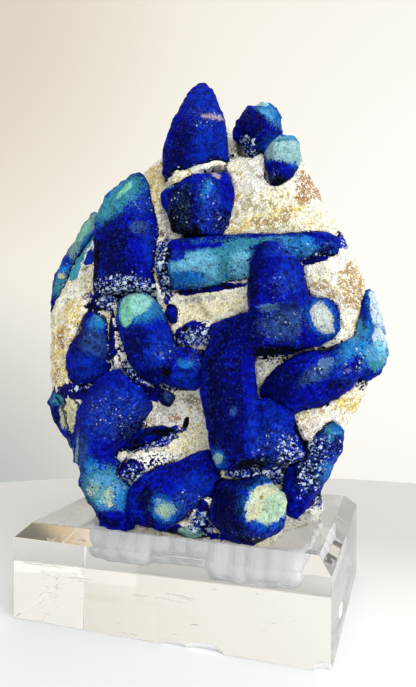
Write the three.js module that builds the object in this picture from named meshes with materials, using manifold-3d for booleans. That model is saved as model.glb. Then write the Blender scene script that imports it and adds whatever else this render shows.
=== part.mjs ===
// Afghanite specimen: blue crystals in white marble, standing in a clear acrylic block.
// Millimetres, +Z up. The origin is the middle of the block's underside, -Y is the front.
import * as THREE from "three";
import { ConvexGeometry } from "three/addons/geometries/ConvexGeometry.js";
import { mergeVertices } from "three/addons/utils/BufferGeometryUtils.js";
import Module from "manifold-3d";

const wasm = await Module();
wasm.setup();

// ---------------------------------------------------------------- driving dimensions

const BLOCK = { width: 67.2, depth: 50.4, height: 20, chamfer: 2.75 };
const GAP = 0.3; // clearance between solids that touch

// The pocket is milled in two steps: shallow at the left, deep at the right.
const POCKET = {
  outline: [
    [-19.0, -16.5], [-17.2, -20.0], [-14.0, -21.6], [-9.0, -22.0], [24.0, -22.0], [26.8, -21.2],
    [28.2, -18.8], [28.7, -10.0], [28.9, -1.0], [27.0, 6.5], [16.0, 11.5], [2.0, 12.5],
    [-12.0, 10.5], [-19.0, 4.0], [-20.8, -6.0],
  ],
  shallowFloor: 13.8,
  deepFloor: 12.4,
  stepX: 7.5,
};

// The specimen has its own frame: X to the right, Y into the rock, Z up along its face.
// That frame stands on top of the block and leans back.
const SPECIMEN = { frontY: -15, lean: THREE.MathUtils.degToRad(6) };

const ROCK = {
  centre: [11, 35],
  rimY: 4.5, // where the front and the back of the rock meet
  frontY: -0.9, // the marble's face between the crystals
  backY: 27, // the rough back, before it is broken
};

// Hollows in the marble's face, as [x, z, half width, half height, depth].
const HOLLOWS = [[2.5, 23.5, 6.5, 7.5, 3.2], [3, 46.5, 9, 3.4, 1.8], [18, 35, 4, 3.5, 1.2]];

// Calcite that fills the seams between crystals, as [x, y, z], half sizes and a turn in degrees.
const SEAM_FILLS = [
  { centre: [-16.3, 0.2, 41.7], size: [2.0, 3.6, 8.4], turn: 0 },
  { centre: [-17.1, 0.2, 48.4], size: [4.6, 4.4, 2.4], turn: 0 },
  { centre: [-19, 0.4, 28.9], size: [4.8, 3.8, 2.6], turn: 30 },
  { centre: [-10.3, 0.2, 31.5], size: [6.4, 4.2, 1.9], turn: -42 },
  { centre: [-5.9, 0.4, 55.8], size: [1.8, 4.4, 8], turn: 0 },
  { centre: [3.3, 0.4, 40.6], size: [5.4, 4, 4.2], turn: 10 },
  { centre: [-8.4, 0.2, 12], size: [7.4, 4, 4], turn: 20 },
  { centre: [6, 0.4, 6.3], size: [3, 4.8, 8], turn: -12 },
  { centre: [13.9, 0, 12.6], size: [7.4, 5, 2.4], turn: -8 },
  { centre: [26, 2, 15.4], size: [2.6, 3, 7.6], turn: 0 },
  { centre: [1.8, 0.8, 0.4], size: [7, 4.6, 2.8], turn: -5 },
];

// The rock's back is broken flat. Each break passes through a place and faces one way. A ledge
// starts at its place, and its layer is gone from there `towards` one side.
const BACK_BREAKS = [
  { place: [0, 24, 20], facing: [0, 1, 0.03] },
  { place: [5, 18, 72], facing: [-0.05, 1, 0.26] },
  { place: [-22, 20, 40], facing: [-0.45, 1, 0.02] },
  { place: [24, 21, 44], facing: [0.4, 1, 0.05] },
  { place: [20, 19, 62], facing: [0.24, 1, 0.22] },
  { place: [-18, 18, 66], facing: [-0.25, 1, 0.18] },
  { place: [0, 21, -4], facing: [0.05, 1, -0.5] },
  { place: [0, 20.9, 53], facing: [-0.07, 1, 0.24], towards: [0.2, 0, 1] },
  { place: [-20, 18.8, 40], facing: [-0.5, 1, -0.06], towards: [-1, 0, 0.25] },
  { place: [14, 21.6, 18], facing: [0.26, 1, -0.1], towards: [1, 0, -0.7] },
  { place: [-4, 22.6, 30], facing: [-0.08, 1, -0.05], towards: [-0.5, 0, -1] },
];

// The rock's outline, seen from the front, clockwise from the top left.
const ROCK_OUTLINE = [
  [-15.0, 77.0], [-13.8, 79.8], [-11.2, 82.6], [-8.7, 84.6], [-4.0, 87.0], [1.0, 88.5],
  [6.8, 88.7], [9.0, 87.6], [12.5, 88.4], [16.5, 88.0], [20.5, 84.0], [23.8, 80.6],
  [26.5, 74.9], [28.7, 69.9], [31.5, 65.4], [34.7, 59.3], [37.3, 53.5], [38.2, 49.5],
  [38.0, 43.5], [38.6, 37.5], [38.4, 31.4], [37.1, 27.0], [34.2, 22.3], [31.1, 13.7],
  [29.4, 9.7], [29.0, 4.0], [27.6, 1.2], [24.8, 0.2], [20.8, -1.4], [17.4, -5.6], [14.2, -12.0],
  [6.0, -12.0],
  [-5.0, -9.0], [-13.0, -7.5], [-18.0, -4.5], [-21.5, 1.0], [-25.5, 6.0], [-28.5, 11.2],
  [-30.6, 15.6], [-33.4, 21.0], [-35.4, 26.2], [-36.0, 30.3], [-36.7, 39.9], [-37.4, 46.5],
  [-34.6, 53.0], [-31.5, 59.0], [-28.0, 64.5], [-23.5, 69.0], [-18.5, 73.0],
];

// ---------------------------------------------------------------- solids and booleans

function toSolid(geometry) {
  const bare = geometry.index ? geometry.toNonIndexed() : geometry.clone();
  for (const name of Object.keys(bare.attributes)) {
    if (name !== "position") bare.deleteAttribute(name);
  }
  const merged = mergeVertices(bare, 1e-4);
  return new wasm.Manifold(new wasm.Mesh({
    numProp: 3,
    vertProperties: new Float32Array(merged.attributes.position.array),
    triVerts: new Uint32Array(merged.index.array),
  }));
}

function toGeometry(solid) {
  const mesh = solid.getMesh();
  const geometry = new THREE.BufferGeometry();
  geometry.setAttribute("position", new THREE.BufferAttribute(mesh.vertProperties, 3));
  geometry.setIndex(new THREE.BufferAttribute(mesh.triVerts, 1));
  geometry.computeVertexNormals();
  return geometry;
}

const joined = (solids) => solids.reduce((sum, solid) => sum.add(solid));

// A closed skin over rings of points, from a first pole to a last pole.
function ringGeometry(rings, firstPole, lastPole) {
  const count = rings[0].length;
  const points = [firstPole, ...rings.flat(), lastPole];
  const at = (ring, i) => 1 + ring * count + (i % count);
  const faces = [];
  for (let i = 0; i < count; i += 1) {
    faces.push(0, at(0, i + 1), at(0, i));
    for (let ring = 0; ring + 1 < rings.length; ring += 1) {
      faces.push(at(ring, i), at(ring, i + 1), at(ring + 1, i + 1));
      faces.push(at(ring, i), at(ring + 1, i + 1), at(ring + 1, i));
    }
    faces.push(at(rings.length - 1, i), at(rings.length - 1, i + 1), points.length - 1);
  }
  const geometry = new THREE.BufferGeometry();
  geometry.setAttribute("position", new THREE.Float32BufferAttribute(points.flatMap((p) => [...p]), 3));
  geometry.setIndex(faces);
  return geometry;
}

// ---------------------------------------------------------------- crystals

// A crystal is a six-sided barrel along a bent axis. Each station is [x, y, z, radius].
// Each side is flat over `flat` degrees either way of its middle, with a bevel between sides.
// `edge` is the direction, in degrees, of one edge between two sides, seen along the axis.
// `first` and `last` are the slopes, across the axis, of the planes that end the crystal.
function crystalSolid({ stations, flat = 25, edge = -78, deep = 0.9, first = 0, last = 0 }, grow = 0) {
  const centres = stations.map(([x, y, z]) => new THREE.Vector3(x, y, z));
  const along = (k) => {
    const before = centres[Math.max(k - 1, 0)];
    const after = centres[Math.min(k + 1, centres.length - 1)];
    return after.clone().sub(before).normalize();
  };
  const end = centres.length - 1;
  const rings = stations.map(([, , , radius], k) => {
    const axis = along(k);
    const across = new THREE.Vector3(0, 1, 0).cross(axis).normalize();
    const inward = axis.clone().cross(across);
    const slope = k === 0 ? first : k === end ? last : 0;
    const shift = k === 0 ? -grow : k === end ? grow : 0;
    const ring = [];
    for (let side = 0; side < 6; side += 1) {
      for (const turn of [-flat, flat]) {
        const angle = THREE.MathUtils.degToRad(edge + 30 + side * 60 + turn);
        const wobble = 1.015 + 0.025 * Math.sin(2.3 * k + 1.9 * side);
        const u = Math.cos(angle) * (radius * wobble + grow);
        const v = Math.sin(angle) * (radius * deep * wobble + grow);
        ring.push(centres[k].clone()
          .addScaledVector(across, u)
          .addScaledVector(inward, v)
          .addScaledVector(axis, shift + slope * u));
      }
    }
    return ring;
  });
  const bulge = 0.12;
  const firstPole = centres[0].clone().addScaledVector(along(0), -grow - bulge * stations[0][3]);
  const lastPole = centres[end].clone().addScaledVector(along(end), grow + bulge * stations[end][3]);
  return toSolid(ringGeometry(rings, firstPole, lastPole));
}

const TOP_POINT = {
  stations: [
    [1.5, 0, 76.8, 7.8], [1.2, 0, 81, 7.9], [1.2, 0, 84.5, 7.2], [1.6, 0, 88.9, 6.0],
    [1.8, 0, 92.8, 4.4], [1.95, 0, 96, 2.4], [2.0, 0, 97.5, 0.9],
  ],
  first: 0.26,
};
const TOP_STEM = {
  stations: [
    [2.2, 0, 62.6, 5.0], [2.7, 0, 65, 6.5], [2.7, 0, 68.5, 7.4], [2.2, 0, 71.5, 8.0], [1.6, 0, 73.6, 8.1],
  ],
  last: 0.22,
};
const TOP_RIGHT_DARK = {
  stations: [
    [18.3, 0.2, 89.6, 2.8], [16.9, 0, 87.6, 4.4], [14.9, 0, 85, 5.2], [13.2, 0.2, 82, 4.2],
    [12.4, 0.6, 79.6, 2.2],
  ],
};
const TOP_RIGHT_PALE = {
  stations: [
    [21.2, 0.2, 82.6, 3.0], [20.8, 0, 79.8, 4.1], [20, 0.2, 76.4, 3.6], [19.4, 0.6, 73.8, 2.3],
    [19.2, 1, 72, 0.9],
  ],
};
const UPPER_LEFT = {
  stations: [
    [-14.7, 0.5, 50, 7.4], [-15.3, 0.5, 56, 7.6], [-15.4, 0.5, 62, 7.7], [-15.6, 0.5, 67, 7.3],
    [-15.2, 0.5, 71.8, 5.8], [-14.3, 0.5, 75.6, 3.5], [-13.6, 0.5, 78.2, 1.1],
  ],
};
const LEFT_EDGE = {
  stations: [
    [-26, 5, 71, 1.1], [-29.3, 5, 66.3, 2.4], [-31.9, 5.2, 61, 3.0], [-34.4, 5.3, 55.3, 2.4],
    [-36.2, 5.5, 50.5, 1.6], [-37.5, 5.5, 46.8, 0.6],
  ],
};
const PALE_BAR = {
  stations: [
    [-5.9, 0.6, 56.2, 5.7], [-2, 0.6, 56.5, 6.2], [4, 0.6, 56.8, 6.2], [12.5, 0.8, 57.7, 5.2],
    [20, 1, 58.6, 4.2], [26, 1.2, 59.3, 3.4], [30.4, 1.5, 59.7, 2.8], [32.6, 1.8, 59.4, 1.6],
  ],
};
const MIDDLE_POINT = {
  stations: [
    [21.4, -2.4, 46, 6.6], [20.9, -2.5, 49.5, 7.0], [20.2, -2.5, 53, 6.2], [19.4, -2.6, 56, 4.9],
    [18.8, -2.8, 58.4, 3.0], [18.3, -3, 60, 1.0],
  ],
  deep: 0.8,
};
const DIAGONAL_BARREL = {
  stations: [
    [8, -1, 38.8, 4.6], [13, -1.3, 40.4, 5.0], [18, -1.5, 41.3, 5.1], [23, -1.5, 42.2, 5.6],
    [28.5, -1.5, 43.5, 5.4], [31.5, -1.4, 44, 4.3], [33, -1.3, 44.2, 2.6],
  ],
};
const UPRIGHT_BARREL = {
  stations: [
    [14.9, -1.6, 14.4, 6.2], [13.9, -2, 18, 6.7], [12, -2, 23, 6.6], [10.9, -2, 29, 6.2],
    [10.9, -2, 35, 6.0], [12.1, -1.8, 41.4, 5.0],
  ],
};
const UPRIGHT_SIDE = {
  stations: [
    [22.4, -0.5, 14.8, 4.9], [21.4, -0.6, 18.4, 5.6], [19.6, -0.6, 23, 5.2], [17.6, -0.4, 27, 3.4],
  ],
};
const RIGHT_OVAL = {
  stations: [
    [17.2, 0, 28.2, 0.9], [19.6, 0, 29, 3.4], [23.4, -0.4, 30.1, 5.2], [28, -0.5, 31.8, 5.8],
    [32.5, 0, 33.8, 5.1], [36.4, 0.8, 36, 4.4], [39, 1.6, 38.4, 3.0],
  ],
  flat: 16,
};
const RIGHT_EDGE = {
  stations: [
    [38.6, 2, 50.3, 0.7], [38.9, 2, 46, 2.0], [38.9, 2, 41, 3.3], [38.9, 2, 37, 3.5],
    [38.8, 2, 33.6, 2.3], [38.4, 2, 31, 0.8],
  ],
};
const LEFT_SPINDLE = {
  stations: [
    [-22.9, 1, 48, 0.9], [-23.2, 1, 44.4, 2.8], [-23.4, 0.8, 39.8, 4.2], [-24.1, 0.8, 35.2, 4.8],
    [-24.6, 1, 31.7, 4.0], [-25, 1, 28.6, 1.3],
  ],
  flat: 16,
};
const MIDDLE_LEFT_BARREL = {
  stations: [
    [-12.8, -0.5, 49.2, 3.4], [-11, -0.8, 45.6, 5.2], [-9, -1, 41, 5.7], [-7, -1, 36.5, 5.6],
    [-5.2, -1, 32.8, 4.5], [-4.2, -1, 30.6, 2.4],
  ],
  flat: 16,
};
const MIDDLE_LEFT_BALL = {
  stations: [
    [-3.4, -1, 33.2, 3.2], [-0.6, -1.2, 33.4, 4.8], [2.6, -1.2, 33.6, 4.8], [5, -1, 34, 3.4],
  ],
  flat: 15,
};
const LOWER_LEFT_BARREL = {
  stations: [
    [-11.6, -0.5, 31, 4.2], [-13.2, -0.8, 28, 6.6], [-15.3, -1, 24.5, 7.4], [-17.9, -1, 20.5, 6.9],
    [-19.6, -0.8, 16, 5.6], [-20.2, -0.4, 11.5, 4.9],
  ],
};
const LOWER_LEFT_FOOT = {
  stations: [
    [-19.4, 0, 13.2, 4.6], [-17.8, 0, 9.5, 5.9], [-16.3, 0, 5, 6.3], [-14.9, 0, 1, 5.6],
    [-14, 0, -2.5, 4.6],
  ],
};
const LEFT_RIM = {
  stations: [
    [-32.7, 4.4, 29, 1.4], [-32, 3.8, 25.5, 2.8], [-30.7, 3.6, 21, 2.8], [-28.9, 3.6, 16, 2.2],
    [-26.6, 3.6, 11, 1.6], [-24.2, 3.6, 6.6, 0.9],
  ],
};
const WINDOW_WEDGE = {
  stations: [
    [-14.4, 0.6, 15, 0.5], [-11.5, 0.4, 16.7, 1.8], [-8.5, 0.4, 18.4, 2.1], [-5, 0.6, 19.7, 1.3],
    [-1.8, 1, 20.3, 0.5],
  ],
};
const WINDOW_BEAD = {
  stations: [
    [-3.6, 0, 28.4, 0.9], [-3.6, 0, 27.4, 1.7], [-3.6, 0, 26.2, 1.7], [-3.6, 0, 25.2, 0.8],
  ],
  flat: 15,
};
const BAR_BUD = {
  stations: [[-3.2, -0.4, 47.4, 1.0], [-3.1, -0.6, 45.6, 1.6], [-2.7, -0.4, 43.4, 0.8]],
  flat: 15,
};
const BOTTOM_BARREL = {
  stations: [
    [8.6, -0.5, 13.4, 3.8], [5.2, -1, 11.2, 5.4], [0.6, -1.2, 8, 6.4], [-4, -1.2, 5.4, 6.4],
    [-7.8, -1, 3.8, 5.2], [-10.2, -0.6, 3, 3.4],
  ],
};
const BOTTOM_RIGHT = {
  stations: [
    [11.4, 4, 5, 6.4], [14, 0, 5.4, 7.2], [17.4, -3, 5.7, 7.0], [20, -5, 6.2, 5.6], [20.8, -6, 6.4, 4.2],
  ],
  deep: 1,
};
const RIGHT_LOWER = {
  stations: [
    [33, 1.6, 22.6, 1.5], [30.8, 1.2, 19.6, 3.2], [28, 1, 15.4, 4.0], [26, 1, 11, 3.8], [24.8, 1, 7, 2.9],
    [24, 1.2, 4, 1.4],
  ],
};

// Each crystal, or group of crystals that grew through each other, is one solid.
// Where two solids would meet, the one further down the list gives way.
const CRYSTALS = [
  { name: "crystals_centre", colour: "#14247f", parts: [PALE_BAR, MIDDLE_POINT, DIAGONAL_BARREL,
    UPRIGHT_BARREL, UPRIGHT_SIDE] },
  { name: "crystal_top_point", colour: "#0f2a9c", parts: [TOP_POINT] },
  { name: "crystal_top_stem", colour: "#10279a", parts: [TOP_STEM] },
  { name: "crystals_top_right", colour: "#1a3f9e", parts: [TOP_RIGHT_DARK, TOP_RIGHT_PALE] },
  { name: "crystal_upper_left", colour: "#12309c", parts: [UPPER_LEFT] },
  { name: "crystals_centre_left", colour: "#11249c", parts: [MIDDLE_LEFT_BARREL, MIDDLE_LEFT_BALL] },
  { name: "crystals_right", colour: "#1a4fb0", parts: [RIGHT_OVAL, RIGHT_EDGE] },
  { name: "crystal_bottom_right", colour: "#0d1566", parts: [BOTTOM_RIGHT] },
  { name: "crystal_lower_left", colour: "#123aa4", parts: [LOWER_LEFT_BARREL, LOWER_LEFT_FOOT] },
  { name: "crystal_bottom_centre", colour: "#0f2290", parts: [BOTTOM_BARREL] },
  { name: "crystal_left_spindle", colour: "#0f2a90", parts: [LEFT_SPINDLE] },
  { name: "crystal_right_lower", colour: "#2a56a8", parts: [RIGHT_LOWER] },
  { name: "crystal_left_edge", colour: "#5f9db8", parts: [LEFT_EDGE] },
  { name: "crystal_left_rim", colour: "#8fb8b8", parts: [LEFT_RIM] },
  { name: "crystal_window_wedge", colour: "#0e1a70", parts: [WINDOW_WEDGE] },
  { name: "crystal_window_bead", colour: "#1d4c9c", parts: [WINDOW_BEAD] },
  { name: "crystal_bar_bud", colour: "#0e1a60", parts: [BAR_BUD] },
];

// ---------------------------------------------------------------- marble

// Gentle hollows and lumps, about one unit high.
const lumps = (x, z) => 0.5 * Math.sin(0.31 * x + 1.7) * Math.cos(0.27 * z - 0.6)
  + 0.3 * Math.sin(0.63 * x - 0.4 * z + 2.1) + 0.2 * Math.sin(0.9 * z + 0.5 * x);

// Low on the right the marble's face falls back towards the block.
function fallBack(x, z) {
  const { smoothstep } = THREE.MathUtils;
  return 7.5 * smoothstep(x, 15, 23) * (1 - smoothstep(z, 0, 14));
}

const hollow = (x, z) => HOLLOWS.reduce((deepest, [midX, midZ, halfX, halfZ, depth]) => {
  const away = Math.hypot((x - midX) / halfX, (z - midZ) / halfZ);
  return Math.max(deepest, depth * (1 - THREE.MathUtils.smoothstep(away, 0.5, 1.2)));
}, 0);

function rockPoint(share, [rimX, rimZ], isFront) {
  const [centreX, centreZ] = ROCK.centre;
  const stray = 1.5 * Math.sin(Math.PI * share) * (1 - share);
  const x = rimX + (centreX - rimX) * share + stray * Math.sin(1.7 * rimX + 2.9 * rimZ + 7 * share);
  const z = rimZ + (centreZ - rimZ) * share + stray * Math.cos(2.3 * rimX - 1.3 * rimZ + 9 * share);
  const rim = ROCK.rimY + 1.2 * lumps(1.3 * rimX, 1.3 * rimZ) + fallBack(rimX, rimZ);
  const faceY = ROCK.frontY + 0.8 * lumps(x, z) + fallBack(x, z) + hollow(x, z);
  const face = isFront ? faceY : ROCK.backY;
  const turn = Math.min(1, share / (isFront ? 0.16 : 0.3)) ** 0.6;
  return new THREE.Vector3(x, rim + (face - rim) * turn, z);
}

function breakSolid({ place, facing, towards }) {
  const out = new THREE.Vector3(...facing).normalize();
  const along = new THREE.Vector3(...(towards ?? [1, 0, 0])).projectOnPlane(out).normalize();
  const size = 200;
  const geometry = new THREE.BoxGeometry(size, size, size);
  geometry.translate(towards ? size / 2 : 0, size / 2, 0);
  geometry.applyMatrix4(new THREE.Matrix4().makeBasis(along, out, along.clone().cross(out)));
  return toSolid(geometry.translate(...place));
}

function rockSolid() {
  const frontShares = [0.66, 0.4, 0.18, 0.06];
  const backShares = [0, 0.07, 0.2];
  const rings = [
    ...frontShares.map((share) => ROCK_OUTLINE.map((rim) => rockPoint(share, rim, true))),
    ...backShares.map((share) => ROCK_OUTLINE.map((rim) => rockPoint(share, rim, false))),
  ];
  const [first, last] = [true, false].map((isFront) => rockPoint(1, ROCK_OUTLINE[0], isFront));
  return BACK_BREAKS.reduce((rock, broken) => rock.subtract(breakSolid(broken)),
    toSolid(ringGeometry(rings, first, last)));
}

function fillSolid({ centre, size, turn }) {
  const geometry = new THREE.IcosahedronGeometry(1, 1);
  const spots = geometry.attributes.position;
  for (let i = 0; i < spots.count; i += 1) {
    const spot = new THREE.Vector3().fromBufferAttribute(spots, i);
    spot.multiplyScalar(0.95 + 0.16 * Math.sin(4 * spot.x + centre[0]) * Math.cos(5 * spot.z + centre[2]));
    spots.setXYZ(i, ...spot);
  }
  geometry.scale(...size);
  geometry.rotateY(THREE.MathUtils.degToRad(-turn));
  return toSolid(geometry.translate(...centre));
}

// The calcite vein that parts the top point from its stem stands proud of the marble.
function veinSolid() {
  const geometry = new THREE.BoxGeometry(15.6, 8, 4.4, 6, 2, 1);
  const spots = geometry.attributes.position;
  for (let i = 0; i < spots.count; i += 1) {
    const x = spots.getX(i);
    spots.setZ(i, spots.getZ(i) + 0.24 * x + 0.25 * Math.sin(1.1 * x));
    spots.setY(i, spots.getY(i) + 0.03 * x ** 2 + 0.0008 * x ** 4 + 0.3 * Math.sin(0.9 * x + 1));
  }
  geometry.translate(1.5, -1.9, 75.2);
  return toSolid(geometry);
}

// ---------------------------------------------------------------- block and pocket

function blockSolid() {
  const { width, depth, height, chamfer } = BLOCK;
  const corners = [];
  for (const [inset, z] of [[0, 0], [0, height - chamfer], [chamfer, height]]) {
    for (const x of [-1, 1]) {
      for (const y of [-1, 1]) {
        corners.push(new THREE.Vector3(x * (width / 2 - inset), y * (depth / 2 - inset), z));
      }
    }
  }
  return toSolid(new ConvexGeometry(corners));
}

// The space inside the pocket, shrunk all round by `inset` and open at the top.
function pocketSolid(inset) {
  const top = BLOCK.height + 5;
  const middle = [3, -5];
  const shape = new THREE.Shape(POCKET.outline.map(([x, y]) => {
    const ray = new THREE.Vector2(x - middle[0], y - middle[1]);
    ray.setLength(ray.length() - 1.15 * inset);
    return new THREE.Vector2(middle[0] + ray.x, middle[1] + ray.y);
  }));
  const prism = (floor) => {
    const geometry = new THREE.ExtrudeGeometry(shape, { depth: top - floor, bevelEnabled: false });
    return toSolid(geometry.translate(0, 0, floor));
  };
  const right = new THREE.BoxGeometry(100, 100, 100);
  right.translate(50 + POCKET.stepX + inset, 0, 0);
  const deep = prism(POCKET.deepFloor + inset).intersect(toSolid(right));
  return prism(POCKET.shallowFloor + inset).add(deep);
}

// ---------------------------------------------------------------- assembly

const model = new THREE.Group();
const specimen = new THREE.Group();
specimen.position.set(0, SPECIMEN.frontY, BLOCK.height);
specimen.rotation.x = -SPECIMEN.lean;
specimen.updateMatrixWorld();
model.add(specimen);

function addPiece(parent, name, solid, finish) {
  const material = new THREE.MeshStandardMaterial({ metalness: 0, flatShading: true, ...finish });
  const piece = new THREE.Mesh(toGeometry(solid), material);
  piece.name = name;
  parent.add(piece);
}

// Everything that the rock may not enter: the level of the block, apart from its pocket.
const level = new THREE.BoxGeometry(200, 200, 100);
level.translate(0, 0, BLOCK.height + GAP - 50);
const toSpecimen = specimen.matrixWorld.clone().invert();
const outsidePocket = toGeometry(toSolid(level).subtract(pocketSolid(GAP)));
const keepOut = toSolid(outsidePocket.applyMatrix4(toSpecimen));

const grownCrystals = CRYSTALS.map(({ parts }) => joined(parts.map((part) => crystalSolid(part, GAP))));

CRYSTALS.forEach(({ name, colour, parts }, index) => {
  let solid = joined(parts.map((part) => crystalSolid(part)));
  for (const neighbour of grownCrystals.slice(0, index)) solid = solid.subtract(neighbour);
  addPiece(specimen, name, solid.subtract(keepOut), { color: colour, roughness: 0.5 });
});

const uncutMarble = joined([rockSolid(), veinSolid(), ...SEAM_FILLS.map(fillSolid)]);
const marble = uncutMarble.subtract(joined(grownCrystals)).subtract(keepOut);
addPiece(specimen, "marble_matrix", marble, { color: "#e4dcc4", roughness: 0.85 });

const block = blockSolid().subtract(pocketSolid(0));
const clear = { color: "#eef1f2", roughness: 0.05, transparent: true, opacity: 0.35 };
addPiece(model, "acrylic_base", block, clear);

export default model;
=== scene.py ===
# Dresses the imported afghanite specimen: blue crystals in marble, fixed in a clear acrylic block.
# Blender units are metres. Sizes in the tables below are millimetres on the specimen.
import math
from collections import namedtuple

import bpy
import numpy as np
from bpy.props import FloatProperty, FloatVectorProperty, PointerProperty
from mathutils import Matrix, Vector
from mathutils import noise as turbulence
from mathutils.bvhtree import BVHTree


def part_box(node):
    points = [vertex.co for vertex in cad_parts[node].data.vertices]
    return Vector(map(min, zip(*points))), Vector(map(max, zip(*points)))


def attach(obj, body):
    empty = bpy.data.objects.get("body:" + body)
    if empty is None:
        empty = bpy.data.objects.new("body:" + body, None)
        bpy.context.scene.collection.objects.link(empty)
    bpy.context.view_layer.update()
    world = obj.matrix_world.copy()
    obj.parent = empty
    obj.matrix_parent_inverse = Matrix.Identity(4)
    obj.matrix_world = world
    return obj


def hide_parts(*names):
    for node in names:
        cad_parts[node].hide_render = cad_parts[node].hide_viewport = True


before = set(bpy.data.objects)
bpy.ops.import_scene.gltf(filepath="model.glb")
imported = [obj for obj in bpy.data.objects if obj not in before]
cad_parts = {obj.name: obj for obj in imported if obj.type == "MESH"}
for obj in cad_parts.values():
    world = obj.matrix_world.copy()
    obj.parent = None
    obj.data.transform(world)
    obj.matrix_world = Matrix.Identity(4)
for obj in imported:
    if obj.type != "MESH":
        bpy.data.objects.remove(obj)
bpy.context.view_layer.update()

bl_info = {
    "name": "Afghanite Specimen",
    "version": (1, 0, 0),
    "blender": (4, 5, 0),
    "location": "View3D > Sidebar > Specimen",
    "description": "Blue crystals in white marble, on a clear acrylic block",
    "category": "Add Mesh",
}

MM = 0.001
BLOCK_LOW, BLOCK_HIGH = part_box("acrylic_base")

# The specimen's own frame: X to the right, Y into the rock, Z up its face. It leans back.
LEAN = math.radians(6)
SPECIMEN_PLACE = (0, -15 * MM, 20 * MM)
SPECIMEN = (Matrix.Translation(SPECIMEN_PLACE) @ Matrix.Rotation(-LEAN, 4, "X")
            @ Matrix.Scale(MM, 4))


def from_hex(code):
    """A linear colour from an sRGB hex code."""
    shares = [int(code[i:i + 2], 16) / 255 for i in (0, 2, 4)]
    return tuple(s / 12.92 if s <= 0.04045 else ((s + 0.055) / 1.055) ** 2.4 for s in shares)


def tint(name, description, code):
    return FloatVectorProperty(name=name, description=description, default=from_hex(code),
                               subtype="COLOR", size=3, min=0, max=1)


def length(name, description, millimetres):
    return FloatProperty(name=name, description=description, default=millimetres * MM,
                         unit="LENGTH", min=0, precision=5)


# ---------------------------------------------------------------- colour zones

# A zone is an oval seen from the front, where the stone changes colour, or where shade, light or
# sheen is painted on it.
Zone = namedtuple("Zone", "name x z half_width half_height turn", defaults=(0,))

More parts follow.
